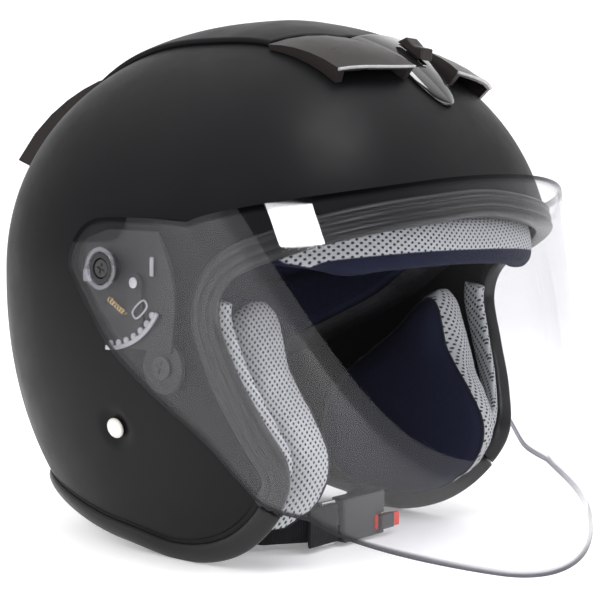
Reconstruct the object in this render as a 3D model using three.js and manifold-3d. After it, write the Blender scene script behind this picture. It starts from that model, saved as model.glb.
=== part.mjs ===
// An open face motorcycle helmet with a long clear face shield, in millimetres, +Z up.
// The front of the helmet looks along -Y and the wearer's right side is at -X.
// Every surface is measured from the shell's centre. The part's origin is on the floor, under the
// middle of the whole helmet's length, with the shield shut.
import * as THREE from "three";
import { mergeVertices } from "three/addons/utils/BufferGeometryUtils.js";
import Module from "manifold-3d";

const wasm = await Module();
wasm.setup();

// ---- Driving dimensions -------------------------------------------------------------------

// The outer shell is a superellipsoid with its own half-axis in each direction.
const halfWidth = 124;
const frontLength = 129;
const rearLength = 145;
const topHeight = 129.5;
const bottomDepth = 182;
const planPower = 2.9;
const topPower = 2.1;
const bottomPower = 2.2;
const centreHeight = 139.8;
const centreY = 11.9;

const shellThickness = 4;
const rimSetback = 2.4;
const foamThickness = 29;
const crownLinerThickness = 7.5;
const gap = 0.35;
// Room that nested curved walls keep, because their flat facets don't match.
const facetRoom = 2.2;
const trimRoom = 1.9;

// The rim of the shell runs from the brow down round the face opening to the jaw tip, then back
// under the ears to the nape. Each pair is an azimuth from the front and an elevation, in degrees.
const rimAngles = [
  [0, 15], [20, 13], [49, 7], [63, 1], [66, -6], [62.5, -17], [56.5, -27],
  [51, -35.5], [53, -42], [64, -52], [86, -57.5], [109, -54], [140, -43.5], [180, -43],
];
const jawTipAngles = [53, -42];
// The foam stops above the cheek pads and the neck roll.
const foamEdgeAngles = [
  [0, 20.5], [21, 18.5], [49, 12.5], [66, 7.5], [78, 0], [92, -10], [110, -18], [140, -27],
  [180, -31],
];
const polarRows = 10;
const rimColumns = 60;

// Face shield: flat side panels, a crease, then a bowed front.
const shieldThickness = 2.2;
const shieldSideX = 132.4;
const creaseX = 129.5;
const creaseXPerHeight = 0.22;
const creaseY = -62;
const creaseYPerHeight = 0.37;
const shieldFrontY = -152;
const shieldFrontPerHeight = 0.19;
const shieldFrontCurve = 0.0005;
const shieldFrontPower = 1.3;
const shieldTravelDegrees = 60;

// Pivot and side mechanism, in the side view (y, z).
const pivot = { y: 5.4, z: 5.2 };
const lowerScrew = { y: -27.6, z: -39.8 };
const shieldEndRadius = 23.4;
const plateInnerX = 124.4;
const plateThickness = 2;
const plateOuterX = plateInnerX + plateThickness;
const leverPivot = { y: -12, z: -1 };
const ratchetRadius = 37.5;
const ratchetTeeth = 7;

// Retention
const strapWidth = 20;
const strapThickness = 1.8;
const rivet = { azimuth: 96.2, elevation: -32 };
const buckleZ = -126.3;

// ---- Directions and surface points --------------------------------------------------------

const radians = THREE.MathUtils.degToRad;
const vector = (x, y, z) => new THREE.Vector3(x, y, z);

// The direction at an azimuth from the front (positive towards the wearer's right) and an elevation.
function direction(azimuth, elevation) {
  const a = radians(azimuth);
  const e = radians(elevation);
  return vector(-Math.sin(a) * Math.cos(e), -Math.cos(a) * Math.cos(e), Math.sin(e));
}

// The point where a direction leaves the surface that lies `depth` inside the shell's outside.
function shellPoint(towards, depth = 0) {
  const length = (towards.y < 0 ? frontLength : rearLength) - depth;
  const height = (towards.z > 0 ? topHeight : bottomDepth) - depth;
  const power = towards.z > 0 ? topPower : bottomPower;
  const plan =
    Math.abs(towards.x / (halfWidth - depth)) ** planPower +
    Math.abs(towards.y / length) ** planPower;
  const size = (plan ** (power / planPower) + Math.abs(towards.z / height) ** power) ** (1 / power);
  return towards.clone().divideScalar(size);
}

// The outward normal of the shell at a direction, from two short steps along the surface.
function shellNormal(towards) {
  const step = 0.01;
  const side = Math.abs(towards.z) > 0.9 ? vector(0, 1, 0) : vector(0, 0, 1);
  const first = side.clone().cross(towards).normalize().multiplyScalar(step);
  const second = towards.clone().cross(first).normalize().multiplyScalar(step);
  const here = shellPoint(towards);
  const right = shellPoint(towards.clone().add(first).normalize()).sub(here);
  const up = shellPoint(towards.clone().add(second).normalize()).sub(here);
  const normal = right.cross(up).normalize();
  return normal.dot(towards) < 0 ? normal.negate() : normal;
}

// A point over the crown at plan position (x, y), lifted off the shell by `height`.
function crownPoint(x, y, height) {
  const length = y < 0 ? frontLength : rearLength;
  const plan = Math.abs(x / halfWidth) ** planPower + Math.abs(y / length) ** planPower;
  const z = topHeight * (1 - plan ** (topPower / planPower)) ** (1 / topPower);
  const towards = vector(x, y, z).normalize();
  return vector(x, y, z).addScaledVector(shellNormal(towards), height);
}

// A closed smooth curve through half a rim's angles and their mirror images.
function rimThrough(angles) {
  const right = angles.map(([azimuth, elevation]) => shellPoint(direction(azimuth, elevation)));
  const left = right
    .slice(1, -1)
    .reverse()
    .map((p) => vector(-p.x, p.y, p.z));
  return new THREE.CatmullRomCurve3([...right, ...left], true);
}

const rim = rimThrough(rimAngles);
const foamRim = rimThrough(foamEdgeAngles);
const foamEdge = (fraction) => foamRim.getPointAt(fraction).normalize();
const shellEdge = (fraction) => rimPoint(fraction, rimSetback, 0).normalize();
const pole = vector(0, 0.6, 0.8);

// How far along a curve, from 0 to 1, it passes nearest a point.
function fractionNear(curve, point) {
  const samples = 800;
  let best = 0;
  let bestDistance = Infinity;
  for (let i = 0; i < samples; i++) {
    const distance = curve.getPointAt(i / samples).distanceTo(point);
    if (distance < bestDistance) {
      best = i / samples;
      bestDistance = distance;
    }
  }
  return best;
}

// A point `back` millimetres from the rim across the shell, and `depth` inside its outside.
function rimPoint(fraction, back, depth) {
  const u = ((fraction % 1) + 1) % 1;
  const edge = shellPoint(rim.getPointAt(u).normalize());
  const across = rim.getTangentAt(u).cross(shellNormal(edge.clone().normalize())).normalize();
  if (across.dot(pole) > 0) across.negate();
  return shellPoint(edge.addScaledVector(across, -back).normalize(), depth);
}

// ---- Solids -------------------------------------------------------------------------------

// A geometry from points and triangles, turned so that its faces point out.
function closedGeometry(points, triangles) {
  let volume = 0;
  for (const [a, b, c] of triangles)
    volume += points[a].dot(points[b].clone().cross(points[c]));
  const index = volume < 0 ? triangles.map(([a, b, c]) => [a, c, b]) : triangles;
  const geometry = new THREE.BufferGeometry().setFromPoints(points);
  geometry.setIndex(index.flat());
  geometry.computeVertexNormals();
  return geometry;
}

// The same for a geometry that is already made, with its doubled vertices merged.
function facesOut(geometry) {
  const bare = geometry.clone();
  bare.deleteAttribute("normal");
  bare.deleteAttribute("uv");
  const merged = mergeVertices(bare, 1e-4);
  const position = merged.getAttribute("position");
  const points = [];
  for (let i = 0; i < position.count; i++)
    points.push(new THREE.Vector3().fromBufferAttribute(position, i));
  const triangles = [];
  for (let i = 0; i < merged.index.count; i += 3) {
    const [a, b, c] = [0, 1, 2].map((k) => merged.index.getX(i + k));
    if (a !== b && b !== c && a !== c) triangles.push([a, b, c]);
  }
  return closedGeometry(points, triangles);
}

// A skin over a row of rings. The ends are closed by `cap`, triangles in the ring's own numbers.
function loft(rings, cap = null) {
  const count = rings[0].length;
  const triangles = [];
  const bands = cap ? rings.length - 1 : rings.length;
  for (let i = 0; i < bands; i++) {
    const here = i * count;
    const next = ((i + 1) % rings.length) * count;
    for (let j = 0; j < count; j++) {
      const k = (j + 1) % count;
      triangles.push([here + j, here + k, next + k], [here + j, next + k, next + j]);
    }
  }
  if (cap) {
    const last = (rings.length - 1) * count;
    for (const [a, b, c] of cap) {
      triangles.push([a, c, b]);
      triangles.push([last + a, last + b, last + c]);
    }
  }
  return closedGeometry(rings.flat(), triangles);
}

// Closing triangles for a ring that turns one way all round.
function fanCap(count) {
  return Array.from({ length: count - 2 }, (_, j) => [0, j + 1, j + 2]);
}

// Closing triangles for any outline, given in its own plane.
function outlineCap(outline) {
  const shape = outline.map(([x, y]) => new THREE.Vector2(x, y));
  const turn = Math.sign(THREE.ShapeUtils.area(shape));
  return THREE.ShapeUtils.triangulateShape(shape, []).map(([a, b, c]) => {
    const same = Math.sign(THREE.ShapeUtils.area([shape[a], shape[b], shape[c]])) === turn;
    return same ? [a, b, c] : [a, c, b];
  });
}

// A slab between a grid of upper points and the matching grid of lower points.
function slab(upper, lower) {
  const last = upper[0].length - 1;
  const rings = upper.map((row, i) => [...row, ...lower[i].slice().reverse()]);
  const cap = [];
  for (let j = 0; j < last; j++) {
    const below = 2 * last + 1 - j;
    cap.push([j, j + 1, below - 1], [j, below - 1, below]);
  }
  return loft(rings, cap);
}

// A bowl between two depths, from the pole out to an edge: a function from 0..1 to a direction.
function bowl(edge, outerDepth, innerDepth, columns, rows) {
  const points = [];
  const rowAt = (depth, row) => {
    const start = points.length;
    for (let i = 0; i < columns; i++) {
      const end = edge(i / columns);
      const turn = new THREE.Quaternion().setFromUnitVectors(pole, end);
      const part = new THREE.Quaternion().slerp(turn, row / rows);
      points.push(shellPoint(pole.clone().applyQuaternion(part), depth));
    }
    return start;
  };
  const triangles = [];
  const fan = (tip, row) => {
    for (let i = 0; i < columns; i++) triangles.push([tip, row + i, row + ((i + 1) % columns)]);
  };
  const band = (near, far) => {
    for (let i = 0; i < columns; i++) {
      const k = (i + 1) % columns;
      triangles.push([near + i, far + i, far + k], [near + i, far + k, near + k]);
    }
  };
  points.push(shellPoint(pole, outerDepth));
  let previous = rowAt(outerDepth, 1);
  fan(0, previous);
  for (let row = 2; row <= rows; row++) {
    const next = rowAt(outerDepth, row);
    band(previous, next);
    previous = next;
  }
  for (let row = rows; row >= 1; row--) {
    const next = rowAt(innerDepth, row);
    band(previous, next);
    previous = next;
  }
  const innerTip = points.length;
  points.push(shellPoint(pole, innerDepth));
  for (let i = 0; i < columns; i++)
    triangles.push([innerTip, previous + ((i + 1) % columns), previous + i]);
  return closedGeometry(points, triangles);
}

// A strip swept along the rim. The section is an outline of [back, depth] pairs at each share of
// the way.
function rimStrip(from, to, steps, sectionAt) {
  const rings = [];
  for (let i = 0; i <= steps; i++) {
    const fraction = from + ((to - from) * i) / steps;
    rings.push(sectionAt(i / steps).map(([back, depth]) => rimPoint(fraction, back, depth)));
  }
  return loft(rings, outlineCap(sectionAt(0)));
}

// A rounded pad swept along a path on the shell. Each station gives azimuth, elevation and depth
// of the pad's middle, and the pad is thinned at both ends.
function sweptPad(stations, halfHeightDegrees, halfDepth, sides = 12) {
  const rings = stations.map(([azimuth, elevation, depth, size]) => {
    const ring = [];
    for (let j = 0; j < sides; j++) {
      const angle = (2 * Math.PI * j) / sides;
      const up = Math.sign(Math.sin(angle)) * Math.abs(Math.sin(angle)) ** 0.6;
      const out = Math.sign(Math.cos(angle)) * Math.abs(Math.cos(angle)) ** 0.8;
      const towards = direction(azimuth, elevation + up * halfHeightDegrees * size);
      ring.push(shellPoint(towards, depth + out * halfDepth * size));
    }
    return ring;
  });
  return loft(rings, fanCap(sides));
}

// A pillow on the wearer's right that fills a side-view outline of [y, z] pairs. Its two faces lie
// at x = -outerXAt(z) and x = -innerX, and meet in a rounded edge.
function pillow(outline, outerXAt, innerX, columns = 24, rows = 5) {
  const loop = new THREE.CatmullRomCurve3(outline.map(([y, z]) => vector(y, z, 0)), true);
  const edge = loop.getSpacedPoints(columns).slice(0, columns);
  const middle = edge.reduce((sum, p) => sum.add(p), vector(0, 0, 0)).divideScalar(columns);
  const ring = (share, side) => {
    const bulge = Math.sqrt(1 - share ** 6);
    return edge.map((p) => {
      const at = middle.clone().lerp(p, share);
      const outerX = outerXAt(at.y);
      const x = (outerX + innerX) / 2 + (side * bulge * (outerX - innerX)) / 2;
      return vector(-x, at.x, at.y);
    });
  };
  const tipShare = 0.06;
  const rings = [ring(tipShare, 1)];
  for (let i = 1; i < rows; i++) rings.push(ring(Math.sin((i / rows) * (Math.PI / 2)), 1));
  rings.push(ring(1, 0));
  for (let i = rows - 1; i > 0; i--) rings.push(ring(Math.sin((i / rows) * (Math.PI / 2)), -1));
  rings.push(ring(tipShare, -1));
  return loft(rings, fanCap(columns));
}

// A flat strap through stations of { at, across }: `across` points along the webbing's width.
function webbing(stations, width, thickness) {
  const centre = new THREE.CatmullRomCurve3(stations.map((s) => s.at));
  const widthWay = new THREE.CatmullRomCurve3(stations.map((s) => s.across));
  const steps = stations.length * 3;
  const rings = [];
  for (let i = 0; i <= steps; i++) {
    const at = centre.getPoint(i / steps);
    const along = centre.getTangent(i / steps);
    const out = along.clone().cross(widthWay.getPoint(i / steps)).normalize();
    const across = out.clone().cross(along).normalize();
    rings.push(
      [[-1, -1], [1, -1], [1, 1], [-1, 1]].map(([w, t]) =>
        at
          .clone()
          .addScaledVector(across, (w * width) / 2)
          .addScaledVector(out, (t * thickness) / 2),
      ),
    );
  }
  return loft(rings, fanCap(4));
}

// Solids for cutting and joining
function solidOf(geometry) {
  const closed = facesOut(geometry);
  return new wasm.Manifold(
    new wasm.Mesh({
      numProp: 3,
      vertProperties: closed.getAttribute("position").array,
      triVerts: new Uint32Array(closed.index.array),
    }),
  );
}

function geometryOf(solid) {
  const mesh = solid.getMesh();
  const geometry = new THREE.BufferGeometry();
  geometry.setAttribute("position", new THREE.BufferAttribute(mesh.vertProperties, 3));
  geometry.setIndex(new THREE.BufferAttribute(mesh.triVerts, 1));
  geometry.computeVertexNormals();
  return geometry;
}

function cut(geometry, ...tools) {
  return geometryOf(tools.reduce((body, tool) => body.subtract(solidOf(tool)), solidOf(geometry)));
}

function join(geometry, ...others) {
  return geometryOf(others.reduce((body, other) => body.add(solidOf(other)), solidOf(geometry)));
}

// The mirror image on the other side of the helmet.
function mirrored(geometry) {
  return facesOut(geometry.clone().scale(-1, 1, 1));
}

// A round bar along X on the wearer's right, from x = -from to x = -to.
function sideBar({ y, z }, radius, from, to, sides = 16) {
  const bar = new THREE.CylinderGeometry(radius, radius, to - from, sides);
  bar.rotateZ(Math.PI / 2);
  return bar.translate(-(from + to) / 2, y, z);
}

// A flat plate on the wearer's right with an outline in the side view (y, z).
function sidePlate(shape, from, to) {
  const plate = new THREE.ExtrudeGeometry(shape, {
    depth: to - from,
    bevelEnabled: false,
    curveSegments: 6,
  });
  const sideways = new THREE.Matrix4().makeBasis(vector(0, 1, 0), vector(0, 0, 1), vector(-1, 0, 0));
  return facesOut(plate.applyMatrix4(sideways).translate(-from, 0, 0));
}

// ---- Scene graph --------------------------------------------------------------------------

const helmet = new THREE.Group();
const assembly = new THREE.Group();
assembly.position.set(0, centreY, centreHeight);
helmet.add(assembly);

const finishes = {
  shell: { color: 0x16171a, roughness: 0.55, metalness: 0 },
  satin: { color: 0x1b1a1c, roughness: 0.4, metalness: 0 },
  gloss: { color: 0x0d0c0d, roughness: 0.15, metalness: 0 },
  rubber: { color: 0x1a1c1f, roughness: 0.6, metalness: 0 },
  foam: { color: 0x1e2023, roughness: 0.9, metalness: 0 },
  mesh: { color: 0xb4b6b8, roughness: 0.9, metalness: 0 },
  navy: { color: 0x14182c, roughness: 0.9, metalness: 0 },
  clear: { color: 0xdfe3ea, roughness: 0.05, metalness: 0, transparent: true, opacity: 0.35 },
  steel: { color: 0xc9ccd0, roughness: 0.3, metalness: 1 },
  brass: { color: 0xb99a55, roughness: 0.35, metalness: 1 },
  webbing: { color: 0x121316, roughness: 0.85, metalness: 0 },
  red: { color: 0xd8201c, roughness: 0.4, metalness: 0 },
};

function place(name, geometry, finish) {
  const mesh = new THREE.Mesh(geometry, new THREE.MeshStandardMaterial(finishes[finish]));
  mesh.name = name;
  assembly.add(mesh);
}

// The same piece on both sides, made once for the wearer's right.
function placePair(name, geometry, finish) {
  place(name + "_right", geometry, finish);
  place(name + "_left", mirrored(geometry), finish);
}

// ---- Shell --------------------------------------------------------------------------------

const bandHeight = 3;
const bandRearY = 88;
const scoopRear = { outerX: 64, outerY: -38, innerX: 31, innerY: -58 };
const scoopFront = { outerX: 64, outerY: -79, innerX: 19, innerY: -88 };

// A grid over the crown between a front edge and a rear edge.
function crownGrid(columns, rows, plan, height) {
  const grid = [];
  for (let i = 0; i <= rows; i++) {
    const row = [];
    for (let j = 0; j <= columns; j++) {
      const [x, y] = plan(j / columns, i / rows);
      row.push(crownPoint(x, y, height(j / columns, i / rows)));
    }
    grid.push(row);
  }
  return grid;
}

// The band's half width narrows from the scoops to the rear spoilers.
function bandPlan(across, back) {
  const half = THREE.MathUtils.lerp(61, 53, back);
  const x = half * (2 * across - 1);
  const beyondArm = Math.min(1, Math.max(0, (Math.abs(x) - scoopRear.innerX) / 30));
  const frontY = THREE.MathUtils.lerp(-57, -37, beyondArm);
  return [x, THREE.MathUtils.lerp(frontY, bandRearY, back)];
}

const crownBand = slab(
  crownGrid(12, 8, bandPlan, () => bandHeight),
  crownGrid(12, 8, bandPlan, () => -2),
);

const shankRadius = 2;
const boreRadius = shankRadius + gap;
const intake = { x: 42, y: -66, width: 20, length: 9 };
const intakeWays = [-1, 1].map((side) => {
  const way = new THREE.BoxGeometry(intake.width, intake.length, 60);
  const foot = crownPoint(side * intake.x, intake.y, 0);
  const turn = new THREE.Quaternion().setFromUnitVectors(
    vector(0, 0, 1),
    shellNormal(foot.clone().normalize()),
  );
  way.applyQuaternion(turn);
  return way.translate(foot.x, foot.y, foot.z);
});
const rivetFoot = shellPoint(direction(rivet.azimuth, rivet.elevation));
const rivetNormal = shellNormal(rivetFoot.clone().normalize());

// A turned piece whose axis runs out through the shell at the rivet.
function atRivet(geometry) {
  const turn = new THREE.Quaternion().setFromUnitVectors(vector(0, 1, 0), rivetNormal);
  return geometry.applyQuaternion(turn).translate(rivetFoot.x, rivetFoot.y, rivetFoot.z);
}

const rivetBore = atRivet(new THREE.CylinderGeometry(2.6, 2.6, 30, 10));
const sideBores = [pivot, lowerScrew].map((at) => sideBar(at, boreRadius, 110, 140));
const shellBores = [...sideBores, rivetBore];
const shellSkin = bowl(shellEdge, 0, shellThickness, rimColumns, polarRows);
place(
  "outer_shell",
  cut(join(shellSkin, crownBand), ...intakeWays, ...shellBores, ...shellBores.map(mirrored)),
  "shell",
);

// ---- Edge trims ---------------------------------------------------------------------------

const jawTip = fractionNear(rim, shellPoint(direction(...jawTipAngles)));
const trimButt = 0.0006;
const legOuter = -2.8;
const legInner = shellThickness + trimRoom + 1.8;
// The trim round the window is slimmer, so that the lining shows right beside it.
const windowLegOuter = -2.3;
const windowLegRoom = 1.3;
const windowLegInner = shellThickness + windowLegRoom + 0.9;
const windowTrimSection = [
  [-1.9, windowLegOuter + 0.6], [-1.1, windowLegOuter], [9, windowLegOuter], [11.5, -1.3],
  [11.5, -gap], [-gap, -gap], [-gap, shellThickness + windowLegRoom],
  [4, shellThickness + windowLegRoom], [4, windowLegInner], [-1.9, windowLegInner],
];
const bottomTrimSection = [
  [-2.6, legOuter + 1.2], [-1.4, legOuter], [6.5, legOuter], [8.5, -1.4], [8.5, -gap],
  [-gap, -gap], [-gap, shellThickness + trimRoom], [6.5, shellThickness + trimRoom], [6.5, legInner],
  [-2.6, legInner],
];
place(
  "window_trim",
  rimStrip(-jawTip + trimButt, jawTip - trimButt, 46, () => windowTrimSection),
  "rubber",
);
// The trim's lowest stretches are ground flat, so that the helmet stands on them.
const floor = new THREE.BoxGeometry(400, 400, 40).translate(0, 0, -centreHeight - 20);
place(
  "bottom_trim",
  cut(rimStrip(jawTip + trimButt, 1 - jawTip - trimButt, 40, () => bottomTrimSection), floor),
  "satin",
);

// ---- Vents --------------------------------------------------------------------------------

// A hood over the crown: a thin roof and two side walls, open below and at its mouth.
// The plan gives its outline, and the roof rises from `low` to `high` towards the mouth.
function hood(plan, low, high, wall) {
  const roof = (across, back) => THREE.MathUtils.lerp(low, high, back);
  const body = slab(
    crownGrid(4, 5, plan, roof),
    crownGrid(4, 5, plan, () => gap),
  );
  const inset = (across, back) =>
    plan(THREE.MathUtils.lerp(0.07, 0.93, across), THREE.MathUtils.lerp(0.12, 1.1, back));
  const hollow = slab(
    crownGrid(4, 5, inset, (across, back) => roof(across, Math.min(1, back)) - wall),
    crownGrid(4, 5, inset, () => -4),
  );
  return cut(body, hollow);
}

// The intake scoops open forwards, from a slanted rear edge to a slanted mouth.
function scoopPlan(across, forward) {
  const rearX = THREE.MathUtils.lerp(scoopRear.outerX, scoopRear.innerX, across);
  const rearY = THREE.MathUtils.lerp(scoopRear.outerY, scoopRear.innerY, across) - 1;
  const frontX = THREE.MathUtils.lerp(scoopFront.outerX, scoopFront.innerX, across);
  const frontY = THREE.MathUtils.lerp(scoopFront.outerY, scoopFront.innerY, across);
  const bow = 3 * Math.sin(Math.PI * across) * forward;
  return [
    -THREE.MathUtils.lerp(rearX, frontX, forward),
    THREE.MathUtils.lerp(rearY, frontY, forward) - bow,
  ];
}
placePair("vent_scoop", hood(scoopPlan, 3.2, 9, 1.8), "satin");

// The exhaust hoods behind the crown open backwards and stand well off the shell.
function exhaustPlan(across, back) {
  const x = THREE.MathUtils.lerp(
    THREE.MathUtils.lerp(52, 60, back),
    THREE.MathUtils.lerp(16, 22, back),
    across,
  );
  return [-x, THREE.MathUtils.lerp(bandRearY + 0.6, 127, back)];
}
placePair("rear_vent", hood(exhaustPlan, 4, 17, 2), "satin");

// The glossy centre piece: two arms at the rear that join into a drop-shaped nose.
const housingRearY = -58.5;
const housingTipY = -100.5;
function housingHalfWidth(forward) {
  const noseStart = 0.6;
  const noseHalfWidth = 15;
  if (forward < noseStart) return THREE.MathUtils.lerp(28, noseHalfWidth, forward / noseStart);
  const alongNose = (forward - noseStart) / (1 - noseStart);
  return Math.max(0.6, noseHalfWidth * Math.sqrt(1 - alongNose ** 2));
}
function housingPlan(across, forward) {
  const half = housingHalfWidth(forward);
  return [half * (1 - 2 * across), THREE.MathUtils.lerp(housingRearY, housingTipY, forward)];
}
function housingHeight(across, forward) {
  const dome = Math.sqrt(1 - (2 * across - 1) ** 2 * 0.8);
  return (1.6 + 4.2 * dome) * (1 - 0.55 * forward ** 3);
}
const sliderY = -76;
const sliderTravel = 5;
const sliderFoot = crownPoint(0, sliderY, 0);
const sliderNormal = shellNormal(sliderFoot.clone().normalize());
const sliderWay = vector(1, 0, 0).cross(sliderNormal).normalize();
const sliderFrame = new THREE.Matrix4().makeBasis(vector(1, 0, 0), sliderWay, sliderNormal);

// A box on the crown's centreline: x across, y forwards down the crown, z off the shell.
function onSliderFrame(geometry) {
  return facesOut(
    geometry.applyMatrix4(sliderFrame).translate(sliderFoot.x, sliderFoot.y, sliderFoot.z),
  );
}
const stemSlot = onSliderFrame(new THREE.BoxGeometry(4.6, 8.6 + 2 * sliderTravel, 20));
place(
  "vent_housing",
  cut(
    slab(crownGrid(6, 12, housingPlan, housingHeight), crownGrid(6, 12, housingPlan, () => gap)),
    stemSlot,
  ),
  "gloss",
);
const knobProfile = new THREE.Shape([
  new THREE.Vector2(-9, 6.9),
  new THREE.Vector2(9, 6.9),
  new THREE.Vector2(6, 12.5),
  new THREE.Vector2(1, 10.6),
  new THREE.Vector2(-5.5, 11.8),
]);
const knob = new THREE.ExtrudeGeometry(knobProfile, { depth: 10, bevelEnabled: false });
knob.translate(0, 0, -5).applyMatrix4(
  new THREE.Matrix4().makeBasis(vector(0, 1, 0), vector(0, 0, 1), vector(1, 0, 0)),
);
const stem = new THREE.BoxGeometry(3.8, 7.4, 7).translate(0, 0, 4);
place("vent_slider", join(onSliderFrame(knob), onSliderFrame(stem)), "satin");

// ---- Lining -------------------------------------------------------------------------------

const foamOuter = shellThickness + facetRoom;
const foamInner = foamOuter + foamThickness;
place(
  "eps_liner",
  cut(bowl(foamEdge, foamOuter, foamInner, 36, 6), ...intakeWays),
  "foam",
);
const linerOuter = foamInner + facetRoom;
place(
  "crown_liner",
  bowl(foamEdge, linerOuter, linerOuter + crownLinerThickness, 32, 5),
  "navy",
);

const browStations = [];
for (let i = 0; i <= 14; i++) {
  const share = (2 * i) / 14 - 1;
  const azimuth = 60 * share;
  const size = Math.min(1, 0.25 + 3.2 * (1 - Math.abs(share)));
  browStations.push([azimuth, 10 - 0.002 * azimuth ** 2, 16.8, size]);
}
place("brow_pad", sweptPad(browStations, 7, 8.5), "mesh");

const cheekOutline = [
  [-49, -6], [-56, -19], [-62, -34], [-70, -51], [-80, -68], [-86.5, -84], [-82, -101],
  [-69, -115], [-50, -125], [-25, -129.5], [2, -128], [22, -119], [31, -103], [29, -78],
  [12, -56], [-10, -39], [-27, -24], [-40, -10],
];
const cheekOuterX = (z) => 101.7 + 0.115 * z - 0.085 * Math.max(0, -45 - z);
const cheekInnerX = 60;
placePair("cheek_pad", pillow(cheekOutline, cheekOuterX, cheekInnerX), "mesh");

const skirtFrom = fractionNear(rim, shellPoint(direction(65.8, -4)));
// The strip stands forward of the trim, most at the temple and least at the jaw.
const skirtOuter = windowLegInner + gap + 0.3;
function skirtSectionAt(share) {
  const lip = THREE.MathUtils.lerp(6.5, 3, share);
  const innerDepth = THREE.MathUtils.lerp(13, 10.9, share);
  return [
    [-0.8, skirtOuter], [-lip, skirtOuter + 3], [-lip, innerDepth - 0.6], [0.6 - lip, innerDepth],
    [6, innerDepth], [8, innerDepth - 3], [8, skirtOuter],
  ];
}
placePair(
  "cheek_skirt",
  rimStrip(skirtFrom, jawTip - trimButt, 18, skirtSectionAt),
  "mesh",
);

const neckStations = [];
for (let i = 0; i <= 14; i++) {
  const share = (2 * i) / 14 - 1;
  const size = Math.min(1, 0.35 + 4 * (1 - Math.abs(share)));
  neckStations.push([180 + 58 * share, -38.6 - 2.4 * share ** 4, 20, size]);
}
place("neck_roll", sweptPad(neckStations, 5.2, 11), "mesh");

// ---- Face shield --------------------------------------------------------------------------

const shieldEndY = pivot.y + shieldEndRadius;
const creaseYAt = (z) => creaseY + creaseYPerHeight * z;
const creaseXAt = (z) => creaseX + creaseXPerHeight * z;
const shieldFrontAt = (z) => shieldFrontY + shieldFrontPerHeight * z + shieldFrontCurve * z * z;

// The outline of the side panel in the side view, as [y, z] pairs from the rounded rear end.
const upperOutline = [
  [28.8, 6], [27.8, 12], [24.5, 19], [19, 24.6], [12, 28], [2, 29.3], [-25, 29.2], [-54, 27.6],
];
const lowerOutline = [
  [28.8, 5], [25.8, 0.5], [17, -12], [0, -32.5], [-25, -51.5], [-53, -71.5], [-73, -91.5],
  [-83, -100.3], [-101, -104.5],
];

// A share from 0 to 1 that rises evenly and then levels off, so both sides meet without a point.
function levelling(forward) {
  const straight = 0.7;
  const late = Math.max(0, forward - straight);
  return (forward - late ** 2 / (2 * (1 - straight))) / ((1 + straight) / 2);
}
const shieldTopAt = (forward) => 27.6 + 24 * levelling(forward);
const shieldBottomAt = (forward) => -104.5 - 31.5 * levelling(forward);

// Where a point of the side panel lies between its rear end, 0, and the crease, 1.
const sideShare = ([y, z]) => (shieldEndY + 0.1 - y) / (shieldEndY + 0.1 - creaseYAt(z));

function outlineHeight(outline, share) {
  const shares = outline.map(sideShare);
  let k = 0;
  while (k < shares.length - 2 && shares[k + 1] < share) k++;
  const part = (share - shares[k]) / (shares[k + 1] - shares[k]);
  return THREE.MathUtils.lerp(outline[k][1], outline[k + 1][1], THREE.MathUtils.clamp(part, 0, 1));
}

// A point on the shield's outside: along 0..1 is the side panel, 1..2 the bowed front.
function shieldPoint(along, z) {
  if (along <= 1) {
    const y = THREE.MathUtils.lerp(shieldEndY, creaseYAt(z), along);
    const share = THREE.MathUtils.clamp(y / creaseYAt(z), 0, 1);
    return vector(-THREE.MathUtils.lerp(shieldSideX, creaseXAt(z), share ** 2), y, z);
  }
  const angle = ((along - 1) * Math.PI) / 2;
  const bow = Math.sin(angle) ** shieldFrontPower;
  const y = THREE.MathUtils.lerp(creaseYAt(z), shieldFrontAt(z), bow);
  return vector(-creaseXAt(z) * Math.cos(angle), y, z);
}

function shieldNormal(along, z) {
  const step = 0.004;
  const before = shieldPoint(Math.max(0, along - step), z);
  const after = shieldPoint(Math.min(2, along + step), z);
  const up = shieldPoint(along, z + 1).sub(shieldPoint(along, z - 1));
  return after.sub(before).cross(up).normalize();
}

const shieldColumns = [
  0, 0.012, 0.04, 0.08, 0.14, 0.22, 0.32, 0.44, 0.58, 0.72, 0.86, 1,
  1.06, 1.14, 1.24, 1.36, 1.48, 1.6, 1.73, 1.87, 2,
];
const shieldRows = 6;

// One row of points for each column, on the outside or `inset` inside it.
function shieldGrid(inset) {
  const right = shieldColumns.map((along) => {
    const forward = Math.max(0, along - 1);
    const top = along <= 1 ? outlineHeight(upperOutline, along) : shieldTopAt(forward);
    const bottom = along <= 1 ? outlineHeight(lowerOutline, along) : shieldBottomAt(forward);
    const column = [];
    for (let i = 0; i <= shieldRows; i++) {
      const z = THREE.MathUtils.lerp(bottom, top, i / shieldRows);
      const point = shieldPoint(along, z);
      const normal = shieldNormal(along, z);
      if (normal.dot(vector(point.x, point.y, 0)) < 0) normal.negate();
      if (along === 2) normal.x = 0;
      column.push(point.addScaledVector(normal, -inset));
    }
    return column;
  });
  const left = right
    .slice(0, -1)
    .reverse()
    .map((column) => column.map((p) => vector(-p.x, p.y, p.z)));
  return [...right, ...left];
}

const postRadius = 7.4;
const shieldHole = sideBar(pivot, postRadius + 0.6, 120, 140);
place(
  "visor",
  cut(slab(shieldGrid(0), shieldGrid(shieldThickness)), shieldHole, mirrored(shieldHole)),
  "clear",
);

// ---- Side mechanism -----------------------------------------------------------------------

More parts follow.
